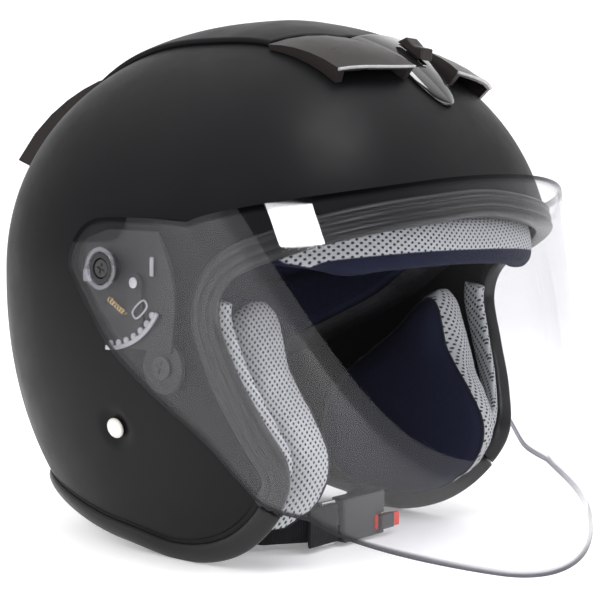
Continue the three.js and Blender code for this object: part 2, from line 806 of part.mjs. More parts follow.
const plateOutline = new THREE.Shape();
plateOutline.moveTo(22, 19);
plateOutline.lineTo(8, 23.5);
plateOutline.lineTo(-24, 23);
plateOutline.quadraticCurveTo(-35, 8, -36, -12);
plateOutline.lineTo(-34, -32.6);
plateOutline.lineTo(-3, -31.6);
plateOutline.lineTo(23.5, 0);
const lowerBoss = { radius: 12.4, innerX: 123.2, outerX: 125.3 };
const basePlate = join(
  sidePlate(plateOutline, plateInnerX, plateOuterX),
  sideBar(lowerScrew, lowerBoss.radius, lowerBoss.innerX, lowerBoss.outerX, 20),
);
placePair("base_plate", cut(basePlate, ...sideBores), "satin");

const postOuterX = shieldSideX + 1.1;
const post = sideBar(pivot, postRadius, plateOuterX + gap, postOuterX);
const screwPocket = sideBar(pivot, 5, postOuterX - 2.4, postOuterX + 5);
placePair("pivot_post", cut(post, screwPocket, sideBores[0]), "satin");

const ringOuterX = shieldSideX + 1.6;
const ring = sideBar(pivot, 10.2, shieldSideX + gap, ringOuterX);
placePair("pivot_ring", cut(ring, shieldHole), "clear");

// A cross-head screw: a low round head, a shank through the shell, and a cross cut in the head.
function crossScrew(at, headRadius, headInnerX, headOuterX) {
  const head = sideBar(at, headRadius, headInnerX, headOuterX);
  const shank = sideBar(at, shankRadius, 118.8, headInnerX + 0.2, 10);
  const arms = [0, Math.PI / 2].map((turn) => {
    const arm = new THREE.BoxGeometry(1.4, headRadius * 1.1, 1.1).rotateX(turn + 0.35);
    return arm.translate(-headOuterX, at.y, at.z);
  });
  return cut(join(head, shank), ...arms);
}
const pivotHeadX = postOuterX - 2.4 + gap;
placePair("pivot_screw", crossScrew(pivot, 4.4, pivotHeadX, pivotHeadX + 1.5), "satin");
const lowerHeadX = lowerBoss.outerX + gap;
placePair("lower_screw", crossScrew(lowerScrew, 5.6, lowerHeadX, lowerHeadX + 1), "satin");

// The toothed arc fixed inside the shield. Its bumps face the pivot.
const mechanismInnerX = plateOuterX + gap;
const ratchetOuterX = shieldSideX - shieldThickness - 1.4;
const ratchetFrom = radians(-92);
const ratchetTo = ratchetFrom + radians(shieldTravelDegrees);
const sideAngle = (radius, angle) =>
  new THREE.Vector2(pivot.y - radius * Math.cos(angle), pivot.z + radius * Math.sin(angle));
const ratchetOutline = [];
const ratchetSteps = ratchetTeeth * 4;
for (let i = 0; i <= ratchetSteps; i++) {
  const angle = THREE.MathUtils.lerp(ratchetFrom, ratchetTo, i / ratchetSteps);
  const bump = 1.5 * Math.abs(Math.sin((Math.PI * ratchetTeeth * i) / ratchetSteps));
  ratchetOutline.push(sideAngle(ratchetRadius - 1.2 - bump, angle));
}
for (let i = 10; i >= 0; i--) {
  const angle = THREE.MathUtils.lerp(ratchetFrom, ratchetTo, i / 10);
  ratchetOutline.push(sideAngle(ratchetRadius + 2, angle));
}
placePair(
  "visor_ratchet",
  sidePlate(new THREE.Shape(ratchetOutline), mechanismInnerX + 0.4, ratchetOuterX),
  "clear",
);

// The sprung lever: a round hub, a tail that the spring pushes, and a nose just inside the bumps.
const noseRadius = ratchetRadius - 1.2 - 1.5 - 0.5;
const noseTip = sideAngle(noseRadius, radians(-50));
const leverOutline = new THREE.Shape();
leverOutline.moveTo(leverPivot.y + 4.5, leverPivot.z - 1);
leverOutline.absarc(leverPivot.y, leverPivot.z, 4.6, -0.2, Math.PI + 0.4, false);
leverOutline.lineTo(noseTip.x - 1.2, noseTip.y + 2.2);
leverOutline.lineTo(noseTip.x, noseTip.y);
leverOutline.lineTo(noseTip.x + 3, noseTip.y + 0.6);
leverOutline.lineTo(-8.2, -13);
const leverOuterX = mechanismInnerX + 1.6;
const lever = sidePlate(leverOutline, mechanismInnerX, leverOuterX);
const leverBore = sideBar(leverPivot, 1.9, 120, 140, 14);
placePair("detent_lever", cut(lever, leverBore), "satin");
placePair(
  "lever_pin",
  join(
    sideBar(leverPivot, 1.5, mechanismInnerX, leverOuterX + 0.5, 12),
    sideBar(leverPivot, 2.6, leverOuterX + gap, leverOuterX + 1, 14),
  ),
  "steel",
);

// The coil spring that presses the lever's tail, with its axis in the side view.
const springFrom = { y: 4.6, z: -9 };
const springTo = { y: -6.2, z: -15.4 };
const springTurns = 6;
const springRadius = 1.05;
const springAxis = vector(0, springTo.y - springFrom.y, springTo.z - springFrom.z);
const springSide = springAxis.clone().cross(vector(1, 0, 0)).normalize();
class SpringCurve extends THREE.Curve {
  getPoint(share, target = new THREE.Vector3()) {
    const angle = 2 * Math.PI * springTurns * share;
    return target
      .set(-(mechanismInnerX + springRadius + 0.5), springFrom.y, springFrom.z)
      .addScaledVector(springAxis, share)
      .add(vector(springRadius * Math.cos(angle), 0, 0))
      .addScaledVector(springSide, springRadius * Math.sin(angle));
  }
}
const wire = new THREE.Shape([
  new THREE.Vector2(0.35, 0),
  new THREE.Vector2(0, 0.35),
  new THREE.Vector2(-0.35, 0),
  new THREE.Vector2(0, -0.35),
]);
const coil = new THREE.ExtrudeGeometry(wire, {
  steps: springTurns * 7,
  extrudePath: new SpringCurve(),
  bevelEnabled: false,
});
placePair("detent_spring", facesOut(coil), "brass");

// ---- Retention ----------------------------------------------------------------------------

const rivetProfile = [
  [0, -shellThickness - 3.4], [2.2, -shellThickness - 3.4], [2.2, gap], [4.8, gap], [4.9, 0.9],
  [3.6, 2], [0, 2.5],
].map(([radius, along]) => new THREE.Vector2(radius, along));
placePair("strap_rivet", facesOut(atRivet(new THREE.LatheGeometry(rivetProfile, 16))), "steel");

const anchorDisc = new THREE.CylinderGeometry(9, 9, 1.4, 14).translate(0, -shellThickness - 1.7, 0);
const anchorHole = new THREE.CylinderGeometry(2.6, 2.6, 20, 10);
placePair("strap_anchor", cut(atRivet(anchorDisc), atRivet(anchorHole)), "steel");

// Each strap hangs inside the shell, turns under the cheek pad and stands on edge at the chin.
function strapStations(sideSign, endX, endY) {
  const inside = (azimuth, elevation, depth) => {
    const p = shellPoint(direction(azimuth, elevation), depth);
    return vector(-sideSign * p.x, p.y, p.z);
  };
  const back = vector(0, 1, 0);
  const up = vector(0, 0, 1);
  return [
    { at: inside(96, -37, 8.6), across: back },
    { at: inside(95, -44, 8.6), across: back },
    { at: inside(93, -51, 9), across: back },
    { at: inside(92, -56.5, 10), across: back },
    { at: vector(sideSign * 74, 1, -134.4), across: back },
    { at: vector(sideSign * 62, -6, -135.2), across: back },
    { at: vector(sideSign * 51, -13, -132), across: back },
    { at: vector(sideSign * 43, -22, -128), across: vector(0.2 * sideSign, 0.8, 0.5) },
    { at: vector(sideSign * 36, -32, -126.6), across: vector(0, 0.2, 1) },
    { at: vector(sideSign * 29, endY + 4.5, buckleZ), across: up },
    { at: vector(endX, endY, buckleZ), across: up },
  ];
}

const receiver = { fromX: -14, toX: 22, y: -46, depth: 9, height: 23 };
const tongueThickness = 1.6;
const fixedStrapY = receiver.y + 2.4;
place(
  "chin_strap_right",
  webbing(strapStations(-1, receiver.fromX - 1, fixedStrapY), strapWidth, strapThickness),
  "webbing",
);
place(
  "chin_strap_left",
  webbing(strapStations(1, receiver.toX + 0.9, fixedStrapY - 2.4), strapWidth, strapThickness),
  "webbing",
);

function block(fromX, toX, y, depth, z, height) {
  return new THREE.BoxGeometry(toX - fromX, depth, height).translate((fromX + toX) / 2, y, z);
}
const receiverBlock = block(
  receiver.fromX, receiver.toX, receiver.y, receiver.depth, buckleZ, receiver.height,
);
const tongueReach = 10;
const tongueWay = block(
  receiver.fromX - 1, receiver.fromX + tongueReach + 12, receiver.y,
  tongueThickness + 0.8, buckleZ, 15,
);
const tabWay = block(
  receiver.toX - 9, receiver.toX + 1, receiver.y - receiver.depth / 2, 6.4, buckleZ - 5, 9,
);
place("buckle_receiver", cut(receiverBlock, tongueWay, tabWay), "satin");

const tongueBlade = block(
  receiver.fromX - 14, receiver.fromX + tongueReach, receiver.y, tongueThickness, buckleZ, 14,
);
const tongueFrame = block(
  receiver.fromX - 14, receiver.fromX - 3, receiver.y, tongueThickness, buckleZ, 22.5,
);
const tongueTeeth = [0, 1, 2].map((i) =>
  block(
    receiver.fromX + 2 + 3 * i, receiver.fromX + 3.4 + 3 * i, receiver.y,
    tongueThickness + 2, buckleZ, 9,
  ),
);
place("buckle_tongue", cut(join(tongueBlade, tongueFrame), ...tongueTeeth), "steel");
place(
  "buckle_webbing",
  block(
    receiver.fromX - 26, receiver.fromX - 3.5,
    receiver.y - tongueThickness / 2 - gap - strapThickness / 2, strapThickness, buckleZ, strapWidth,
  ),
  "webbing",
);

const tabHinge = { x: receiver.toX - 6, y: receiver.y - 3.4 };
const tabShape = new THREE.Shape([
  new THREE.Vector2(tabHinge.x - 2.4, tabHinge.y - 1.2),
  new THREE.Vector2(tabHinge.x + 8, tabHinge.y - 1.8),
  new THREE.Vector2(tabHinge.x + 16, tabHinge.y - 3.6),
  new THREE.Vector2(tabHinge.x + 16, tabHinge.y - 1.6),
  new THREE.Vector2(tabHinge.x + 8, tabHinge.y + 0.6),
  new THREE.Vector2(tabHinge.x - 2.4, tabHinge.y + 0.8),
]);
const tab = new THREE.ExtrudeGeometry(tabShape, { depth: 7.4, bevelEnabled: false });
place("buckle_release_tab", facesOut(tab.translate(0, 0, buckleZ - 8.7)), "red");

export default helmet;
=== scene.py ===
import math

import bmesh
import bpy
import numpy as np
from mathutils import Matrix, Vector


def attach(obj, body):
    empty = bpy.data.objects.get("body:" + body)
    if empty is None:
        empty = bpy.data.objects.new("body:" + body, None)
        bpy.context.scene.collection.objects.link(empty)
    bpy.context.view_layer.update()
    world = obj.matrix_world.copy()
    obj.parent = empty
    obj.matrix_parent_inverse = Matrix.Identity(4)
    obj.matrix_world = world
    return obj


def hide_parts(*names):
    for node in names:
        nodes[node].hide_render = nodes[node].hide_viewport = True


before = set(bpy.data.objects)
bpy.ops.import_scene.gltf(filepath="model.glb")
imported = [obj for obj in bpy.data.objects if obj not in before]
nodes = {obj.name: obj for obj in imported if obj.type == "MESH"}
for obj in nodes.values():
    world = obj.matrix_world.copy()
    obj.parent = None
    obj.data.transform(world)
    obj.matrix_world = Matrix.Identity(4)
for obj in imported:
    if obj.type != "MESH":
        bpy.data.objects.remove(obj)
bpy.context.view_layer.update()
scene = bpy.context.scene

# ---- The helmet's driving dimensions, in millimetres about the shell's centre ----------------

CENTRE = np.array([0.0, 11.9, 139.8])
HALF_WIDTH, FRONT, REAR, TOP, BOTTOM = 124.0, 129.0, 145.0, 129.5, 182.0
PLAN_POWER, TOP_POWER, BOTTOM_POWER = 2.9, 2.1, 2.2
SHELL_THICKNESS = 4.0
GAP = 0.35
POLE = np.array([0.0, 0.6, 0.8])
MIRROR = np.array([-1, 1, 1])
X_AXIS = np.array([1.0, 0, 0])
RIM_ANGLES = [
    (0, 15), (20, 13), (49, 7), (63, 1), (66, -6), (62.5, -17), (56.5, -27),
    (51, -35.5), (53, -42), (64, -52), (86, -57.5), (109, -54), (140, -43.5), (180, -43),
]
FOAM_ANGLES = [
    (0, 20.5), (21, 18.5), (49, 12.5), (66, 7.5), (78, 0), (92, -10), (110, -18), (140, -27),
    (180, -31),
]
PIVOT = np.array([5.4, 5.2])
SHIELD_SIDE_X, SHIELD_THICKNESS = 132.4, 2.2


def direction(azimuth, elevation):
    a, e = np.radians(azimuth), np.radians(elevation)
    return np.stack([-np.sin(a) * np.cos(e), -np.cos(a) * np.cos(e), np.sin(e) + 0 * a], -1)


def unit(v):
    return v / np.linalg.norm(v, axis=-1, keepdims=True)


def shell_point(towards, depth=0.0):
    """Where directions leave the surface that lies depth inside the shell's outside."""
    d = np.asarray(towards, float)
    depth = np.asarray(depth, float)
    length = np.where(d[..., 1] < 0, FRONT, REAR) - depth
    height = np.where(d[..., 2] > 0, TOP, BOTTOM) - depth
    power = np.where(d[..., 2] > 0, TOP_POWER, BOTTOM_POWER)
    plan = (np.abs(d[..., 0]) / (HALF_WIDTH - depth)) ** PLAN_POWER
    plan = plan + (np.abs(d[..., 1]) / length) ** PLAN_POWER
    size = (plan ** (power / PLAN_POWER) + (np.abs(d[..., 2]) / height) ** power) ** (1 / power)
    return d / size[..., None]


def shell_normal(point):
    """The outward normal of the shell where a direction crosses it."""
    p = shell_point(unit(np.asarray(point, float)))
    half = np.stack([
        np.full(p.shape[:-1], HALF_WIDTH),
        np.where(p[..., 1] < 0, FRONT, REAR),
        np.where(p[..., 2] > 0, TOP, BOTTOM),
    ], -1)
    power = np.where(p[..., 2] > 0, TOP_POWER, BOTTOM_POWER)
    r = np.abs(p) / half
    plan = np.maximum(r[..., 0] ** PLAN_POWER + r[..., 1] ** PLAN_POWER, 1e-9)
    around = plan ** (power / PLAN_POWER - 1)
    g = np.stack([
        around * r[..., 0] ** (PLAN_POWER - 1) / half[..., 0],
        around * r[..., 1] ** (PLAN_POWER - 1) / half[..., 1],
        r[..., 2] ** (power - 1) / half[..., 2],
    ], -1)
    return unit(g * np.sign(p) + 1e-12)


def crown_point(x, y, height):
    """A point over the crown at plan position (x, y), lifted off the shell by height."""
    x, y = np.broadcast_arrays(np.asarray(x, float), np.asarray(y, float))
    length = np.where(y < 0, FRONT, REAR)
    plan = np.abs(x / HALF_WIDTH) ** PLAN_POWER + np.abs(y / length) ** PLAN_POWER
    z = TOP * (1 - plan ** (TOP_POWER / PLAN_POWER)) ** (1 / TOP_POWER)
    p = np.stack([x, y, z], -1)
    return p + shell_normal(p) * np.asarray(height, float)[..., None]


def spline_piece(p0, p1, p2, p3, count):
    """Points on the centripetal Catmull-Rom curve from p1 towards p2."""
    d0, d1, d2 = (max(np.linalg.norm(b - a), 1e-6) ** 0.5 for a, b in ((p0, p1), (p1, p2), (p2, p3)))
    t1 = ((p1 - p0) / d0 - (p2 - p0) / (d0 + d1) + (p2 - p1) / d1) * d1
    t2 = ((p2 - p1) / d1 - (p3 - p1) / (d1 + d2) + (p3 - p2) / d2) * d1
    t = np.linspace(0, 1, count, endpoint=False)[:, None]
    return p1 + t1 * t + (-3 * p1 + 3 * p2 - 2 * t1 - t2) * t**2 + (2 * p1 - 2 * p2 + t1 + t2) * t**3


def open_curve(points, per):
    """Points on a smooth curve through points, with its ends carried on straight."""
    pts = np.array(points, float)
    pts = np.vstack([2 * pts[0] - pts[1], pts, 2 * pts[-1] - pts[-2]])
    runs = [spline_piece(*pts[i - 1 : i + 3], per) for i in range(1, len(pts) - 2)]
    return np.concatenate([*runs, pts[-2:-1]])


LOOP_SAMPLES = 4000


class Loop:
    """A closed smooth curve that gives points and tangents by its share of the length."""

    def __init__(self, points):
        pts = np.asarray(points, float)
        count = len(pts)
        runs = [
            spline_piece(*(pts[(i + k) % count] for k in (-1, 0, 1, 2)), LOOP_SAMPLES // count)
            for i in range(count)
        ]
        self.points = np.vstack([*runs, pts[:1]])
        steps = np.linalg.norm(np.diff(self.points, axis=0), axis=1)
        self.share = np.concatenate([[0], np.cumsum(steps)]) / steps.sum()

    def at(self, share):
        s = np.mod(share, 1.0)
        return np.stack([np.interp(s, self.share, self.points[:, k]) for k in range(3)], -1)

    def tangent(self, share):
        step = 0.0006
        return unit(self.at(np.asarray(share) + step) - self.at(np.asarray(share) - step))

    def near(self, point):
        gap = np.linalg.norm(self.points[:-1] - np.asarray(point), axis=1)
        return float(self.share[int(np.argmin(gap))])


def mirrored_angles(angles):
    right = [shell_point(direction(a, e)) for a, e in angles]
    left = [p * MIRROR for p in right[1:-1][::-1]]
    return Loop(right + left)


rim = mirrored_angles(RIM_ANGLES)
foam_rim = mirrored_angles(FOAM_ANGLES)


def rim_point(share, back, depth=0.0):
    """A point back millimetres from the rim across the shell, and depth inside its outside."""
    edge = shell_point(unit(rim.at(share)))
    across = unit(np.cross(rim.tangent(share), shell_normal(edge)))
    across = np.where((across @ POLE)[..., None] > 0, -across, across)
    back = np.asarray(back, float)
    return shell_point(unit(edge - across * back[..., None]), depth)


jaw_tip = rim.near(shell_point(direction(*RIM_ANGLES[8])))
# Half the gap between the two trims where they meet, as a share of the rim's length.
BUTT = 0.0006

# ---- Mesh helpers ----------------------------------------------------------------------------


def new_mesh(name, points, faces, smooth=True):
    """An object from points in millimetres about the shell's centre, with its faces turned out."""
    mesh = bpy.data.meshes.new(name)
    world = (np.asarray(points, float).reshape(-1, 3) + CENTRE) / 1000
    mesh.from_pydata(world.tolist(), [], [list(f) for f in faces])
    obj = bpy.data.objects.new(name, mesh)
    scene.collection.objects.link(obj)
    bm = bmesh.new()
    bm.from_mesh(mesh)
    bmesh.ops.remove_doubles(bm, verts=bm.verts, dist=1e-6)
    bmesh.ops.recalc_face_normals(bm, faces=bm.faces)
    if bm.calc_volume(signed=True) < 0:
        bmesh.ops.reverse_faces(bm, faces=bm.faces)
    bm.to_mesh(mesh)
    bm.free()
    if smooth:
        mesh.polygons.foreach_set("use_smooth", [True] * len(mesh.polygons))
    mesh.update()
    return obj


def skin(rings, closed_rings=False, cap=True):
    """Points and faces of a tube over rings of equal length. Flat ends are closed by one face."""
    rings = np.asarray(rings, float)
    rows, count = rings.shape[:2]
    faces = []
    for i in range(rows if closed_rings else rows - 1):
        a, b = i * count, ((i + 1) % rows) * count
        faces += [(a + j, a + (j + 1) % count, b + (j + 1) % count, b + j) for j in range(count)]
    if cap and not closed_rings:
        faces.append(tuple(range(count)))
        faces.append(tuple((rows - 1) * count + j for j in range(count)))
    return rings.reshape(-1, 3), faces


def slab(upper, lower):
    """A closed slab between a grid of upper points and the matching lower grid."""
    rings = np.concatenate([upper, lower[:, ::-1]], axis=1)
    rows, count = rings.shape[:2]
    half = count // 2
    points, faces = skin(rings, cap=False)
    for base in (0, (rows - 1) * count):
        for j in range(half - 1):
            faces.append((base + j, base + j + 1, base + count - 2 - j, base + count - 1 - j))
    return points, faces


def turns(sides):
    """Angles evenly round a circle."""
    return np.linspace(0, 2 * math.pi, sides, endpoint=False)


def tube(path, first, second, first_radius, second_radius, sides=10):
    """Rings of an oval tube round a path, from the directions of its two radii."""
    angle = turns(sides)[None, :, None]
    first, second = (np.broadcast_to(way, path.shape)[:, None] for way in (first, second))
    return path[:, None] + first * (first_radius * np.cos(angle)) + second * (second_radius * np.sin(angle))


BOX_FACES = [(0, 1, 3, 2), (4, 6, 7, 5), (0, 4, 5, 1), (2, 3, 7, 6), (0, 2, 6, 4), (1, 5, 7, 3)]


def box(size, centre, axes=np.eye(3)):
    """Points and faces of a block, with its size along each of its axes."""
    corners = np.array([[x, y, z] for x in (-0.5, 0.5) for y in (-0.5, 0.5) for z in (-0.5, 0.5)])
    return np.array(centre) + (corners * np.array(size)) @ np.array(axes), BOX_FACES


def bowl(rows_outer, rows_inner, tip_outer, tip_inner):
    """A closed bowl from its outer and inner rings, which both run from near the pole to the edge."""
    rings = np.concatenate([rows_outer, rows_inner[::-1]])
    count = rings.shape[1]
    points, faces = skin(rings, cap=False)
    points = np.vstack([points, tip_outer[None], tip_inner[None]])
    first, last = len(points) - 2, len(points) - 1
    tail = (len(rings) - 1) * count
    for j in range(count):
        k = (j + 1) % count
        faces.append((first, j, k))
        faces.append((last, tail + k, tail + j))
    return points, faces


def slerp_rows(ends, shares):
    """Directions on the great circles from the pole to each end, at each share of the way."""
    ends = unit(ends)
    angle = np.arccos(np.clip(ends @ POLE, -1, 1))
    rows = []
    for s in shares:
        a = np.sin((1 - s) * angle) / np.sin(angle)
        b = np.sin(s * angle) / np.sin(angle)
        rows.append(unit(a[:, None] * POLE + b[:, None] * ends))
    return np.array(rows)


def apply_all(obj):
    """Replaces an object's mesh by what its modifiers make."""
    bpy.context.view_layer.update()
    graph = bpy.context.evaluated_depsgraph_get()
    made = bpy.data.meshes.new_from_object(obj.evaluated_get(graph))
    obj.modifiers.clear()
    obj.data = made
    return obj


def bevelled(obj, width_mm, segments=2, angle=30):
    m = obj.modifiers.new("edge", "BEVEL")
    m.width = width_mm / 1000
    m.segments = segments
    m.limit_method = "ANGLE"
    m.angle_limit = math.radians(angle)
    m.harden_normals = True
    m.miter_outer = "MITER_ARC"
    return obj


def weighted(obj):
    m = obj.modifiers.new("shading", "WEIGHTED_NORMAL")
    m.keep_sharp = True
    m.weight = 80
    return obj


def dressed(name, material, width_mm=0.3, segments=2, angle=28):
    """A CAD node that stays: its facets are welded and its edges rounded, and it gets a material."""
    obj = nodes[name]
    mesh = obj.data
    if "custom_normal" in mesh.attributes:
        mesh.attributes.remove(mesh.attributes["custom_normal"])
    mesh.polygons.foreach_set("use_smooth", [True] * len(mesh.polygons))
    weld = obj.modifiers.new("weld", "WELD")
    weld.merge_threshold = 2e-6
    bevelled(obj, width_mm, segments, angle)
    weighted(obj)
    mesh.materials.clear()
    mesh.materials.append(material)
    return obj


def finish_piece(obj, material, body, replaced=()):
    obj.data.materials.clear()
    obj.data.materials.append(material)
    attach(obj, body)
    if replaced:
        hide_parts(*replaced)
    return obj


def on_left(name):
    return name.replace("right", "left")


def mirror_copy(obj):
    """The same piece on the wearer's left."""
    twin = obj.copy()
    twin.data = obj.data.copy()
    twin.name = twin.data.name = on_left(obj.name)
    scene.collection.objects.link(twin)
    twin.data.transform(Matrix.Scale(-1, 4, Vector(X_AXIS)))
    twin.data.flip_normals()
    return twin


def finish_pair(obj, material, body, replaced=()):
    """Finishes a piece on the wearer's right, and its mirror image on the left."""
    finish_piece(obj, material, body, replaced)
    finish_piece(mirror_copy(obj), material, on_left(body), [on_left(node) for node in replaced])


def set_attribute(obj, name, values):
    values = np.asarray(values, np.float32)
    kind = "FLOAT" if values.ndim == 1 else "FLOAT_VECTOR"
    attribute = obj.data.attributes.new(name, kind, "POINT")
    attribute.data.foreach_set("value" if values.ndim == 1 else "vector", values.ravel())


def coordinates(obj):
    """A piece's points in millimetres about the shell's centre."""
    co = np.zeros(len(obj.data.vertices) * 3)
    obj.data.vertices.foreach_get("co", co)
    return co.reshape(-1, 3) * 1000 - CENTRE


# ---- Materials -------------------------------------------------------------------------------


class Nodes:
    """Short calls that add nodes to a shader tree."""

    def __init__(self, tree):
        self.tree = tree

    def put(self, socket, value):
        """Links an input to another node's output, or sets it to a number or colour."""
        if isinstance(value, bpy.types.NodeSocket):
            self.tree.links.new(value, socket)
        elif socket.type == "RGBA":
            socket.default_value = (*value, 1)
        else:
            socket.default_value = value

    def add(self, kind, inputs=(), **settings):
        """A new node, with its settings, and with inputs given by name or number."""
        node = self.tree.nodes.new("ShaderNode" + kind)
        for key, value in settings.items():
            setattr(node, key, value)
        for key, value in dict(inputs).items():
            self.put(node.inputs[key], value)
        return node


class Shade(Nodes):
    """A material under construction, which starts as a Principled surface."""

    def __init__(self, name):
        self.material = bpy.data.materials.new(name)
        self.material.use_nodes = True
        super().__init__(self.material.node_tree)
        self.bsdf = self.tree.nodes["Principled BSDF"]
        self.place = self.add("TexCoord").outputs["Object"]

    def noise(self, scale, detail, roughness=0.55):
        inputs = {"Scale": scale, "Detail": detail, "Roughness": roughness, "Vector": self.place}
        return self.add("TexNoise", inputs).outputs["Fac"]

    def ramp(self, fac, stops):
        node = self.add("ValToRGB", {"Fac": fac})
        elements = node.color_ramp.elements
        for element, (position, value) in zip(elements, stops):
            element.position = position
            element.color = (*value, 1) if isinstance(value, tuple) else (value, value, value, 1)
        return node.outputs["Color"]

    def mix(self, fac, a, b, blend="MIX"):
        return self.add("Mix", {"Factor": fac, 6: a, 7: b}, data_type="RGBA", blend_type=blend).outputs[2]

    def math(self, kind, *values, clamp=False):
        return self.add("Math", enumerate(values), operation=kind, use_clamp=clamp).outputs[0]

    def attribute(self, name, output="Vector"):
        return self.add("Attribute", attribute_name=name).outputs[output]

    def weave(self):
        """The two weave coordinates of a fabric piece, in millimetres."""
        split = self.add("SeparateXYZ", {0: self.attribute("weave")})
        return split.outputs[0], split.outputs[1]

    def set(self, inputs):
        for key, value in inputs.items():
            self.put(self.bsdf.inputs[key], value)

    def colour(self, fac, low, high):
        self.set({"Base Color": self.mix(fac, low, high)})

    def roughness(self, fac, stops):
        self.set({"Roughness": self.ramp(fac, stops)})

    def bump(self, *heights):
        """One bump node after another, each (height socket, strength, distance in metres)."""
        normal = {}
        for height, strength, distance in heights:
            inputs = {"Height": height, "Strength": strength, "Distance": distance}
            normal = {"Normal": self.add("Bump", inputs | normal).outputs["Normal"]}
        self.set(normal)


def moulded(name, low, high, rough, grain=900.0, strength=0.12, spread=0.08, specular=0.5, coat=0.0):
    """Moulded or painted plastic: slight colour drift, uneven gloss and a fine grain."""
    s = Shade(name)
    s.colour(s.noise(14, 4), low, high)
    s.roughness(s.noise(55, 5, 0.6), [(0.3, rough - spread), (0.72, rough + spread)])
    s.bump((s.noise(grain, 2), strength, 0.0001), (s.noise(35, 2), strength * 0.5, 0.0002))
    s.set({"Specular IOR Level": specular, "Coat Weight": coat, "Coat Roughness": 0.08})
    return s.material


def metal(name, low, high, rough):
    s = Shade(name)
    s.colour(s.noise(60, 3), low, high)
    s.roughness(s.noise(300, 3), [(0.3, rough - 0.07), (0.7, rough + 0.09)])
    s.bump((s.noise(1500, 2), 0.15, 0.00005))
    s.set({"Metallic": 1.0})
    return s.material


def clear_plastic(name, tint, least, power, rim=None):
    """Clear moulded plastic: light passes straight through it, and its mirror grows at grazing angles."""
    s = Shade(name)
    s.colour(s.noise(9, 3), (0.93, 0.93, 0.95), (0.99, 0.99, 1.0))
    s.roughness(s.noise(120, 4), [(0.35, 0.015), (0.8, 0.04)])
    s.bump((s.noise(6, 2), 0.02, 0.0006))
    s.set({"Metallic": 1.0})
    if rim:
        # The cut edge carries light sideways, and reads as a grey line.
        through = s.mix(s.attribute("edge", "Fac"), tint, rim)
    else:
        through = s.mix(s.noise(11, 2), tint, tuple(0.97 * t for t in tint))
    passing = s.add("BsdfTransparent", {"Color": through})
    facing = s.add("LayerWeight", {"Blend": 0.5}).outputs["Facing"]
    share = s.math("MULTIPLY_ADD", s.math("POWER", facing, power), 0.5 - least, least, clamp=True)
    blend = s.add("MixShader", {0: share, 1: passing.outputs[0], 2: s.bsdf.outputs[0]})
    s.put(s.tree.nodes["Material Output"].inputs["Surface"], blend.outputs[0])
    return s.material


HOLE_PITCH = 3.8


def spacer_mesh(name):
    """Knitted spacer fabric with rows of small holes darkened by painted shade, and plain navy where a face
    would rest.
    """
    s = Shade(name)
    weave_across, weave_along = s.weave()
    across = s.math("DIVIDE", weave_across, HOLE_PITCH)
    along = s.math("DIVIDE", weave_along, HOLE_PITCH * 0.86)
    rows = []
    for shift in (0.0, 0.5):
        x = s.math("SUBTRACT", s.math("FRACT", s.math("ADD", across, 100.0 + shift)), 0.5)
        y = s.math("SUBTRACT", s.math("FRACT", s.math("ADD", along, 100.0 + shift)), 0.5)
        rows.append(s.math("SQRT", s.math("ADD", s.math("MULTIPLY", x, x), s.math("MULTIPLY", y, y))))
    near = s.math("MINIMUM", *rows)
    ragged = s.math("MULTIPLY", s.math("SUBTRACT", s.noise(900, 2), 0.5), 0.10)
    shaded_hole = s.ramp(s.math("ADD", near, ragged), [(0.135, 1.0), (0.215, 0.0)])
    yarn = s.mix(s.noise(1400, 3), (0.30, 0.31, 0.315), (0.56, 0.57, 0.575))
    wide = s.mix(s.noise(25, 3), (0.86, 0.87, 0.88), (1.0, 1.0, 1.0))
    # Painted shade: the holes get a near-black colour for the shade inside them.
    knit = s.mix(shaded_hole, s.mix(1.0, yarn, wide, "MULTIPLY"), (0.035, 0.037, 0.045))
    navy = s.mix(s.noise(700, 4), (0.006, 0.0075, 0.018), (0.014, 0.016, 0.036))
    plain = s.math("MULTIPLY_ADD", s.attribute("plain", "Fac"), 1.6, 0.5, clamp=True)
    s.colour(plain, knit, navy)
    s.roughness(s.noise(600, 2), [(0.2, 0.82), (0.8, 0.96)])
    depth = s.math("MULTIPLY", shaded_hole, s.math("SUBTRACT", 1.0, plain))
    s.bump((s.math("MULTIPLY", depth, -1.0), 0.9, 0.0007), (s.noise(1800, 2), 0.5, 0.0002),
           (s.noise(120, 3), 0.4, 0.0006))
    s.set({"Specular IOR Level": 0.12})
    return s.material


def brushed_fabric(name, low, high):
    s = Shade(name)
    s.colour(s.noise(450, 4), low, high)
    s.roughness(s.noise(200, 3), [(0.25, 0.8), (0.8, 0.97)])
    s.bump((s.noise(2200, 2), 0.25, 0.0002), (s.noise(60, 3), 0.2, 0.0005))
    s.set({"Specular IOR Level": 0.1})
    return s.material


RIB_PITCH, TWILL_PITCH = 1.3, 0.9


def woven(name, low, high):
    """Flat strap webbing: ribs across, and a fine twill along."""
    s = Shade(name)
    across, along = s.weave()
    rib = s.math("SINE", s.math("MULTIPLY", across, 2 * math.pi / RIB_PITCH))
    twill = s.math("SINE", s.math("MULTIPLY", s.math("ADD", across, along), 2 * math.pi / TWILL_PITCH))
    weave = s.math("ADD", s.math("MULTIPLY", rib, 0.3), s.math("MULTIPLY", twill, 0.25))
    # The colour follows the weave's height: painted shade in the grooves and painted light on the ribs.
    s.colour(s.math("ADD", weave, 0.5, clamp=True), low, high)
    s.roughness(s.noise(300, 3), [(0.2, 0.62), (0.8, 0.85)])
    s.bump((weave, 0.8, 0.0003), (s.noise(1500, 2), 0.3, 0.0001))
    s.set({"Specular IOR Level": 0.2})
    return s.material


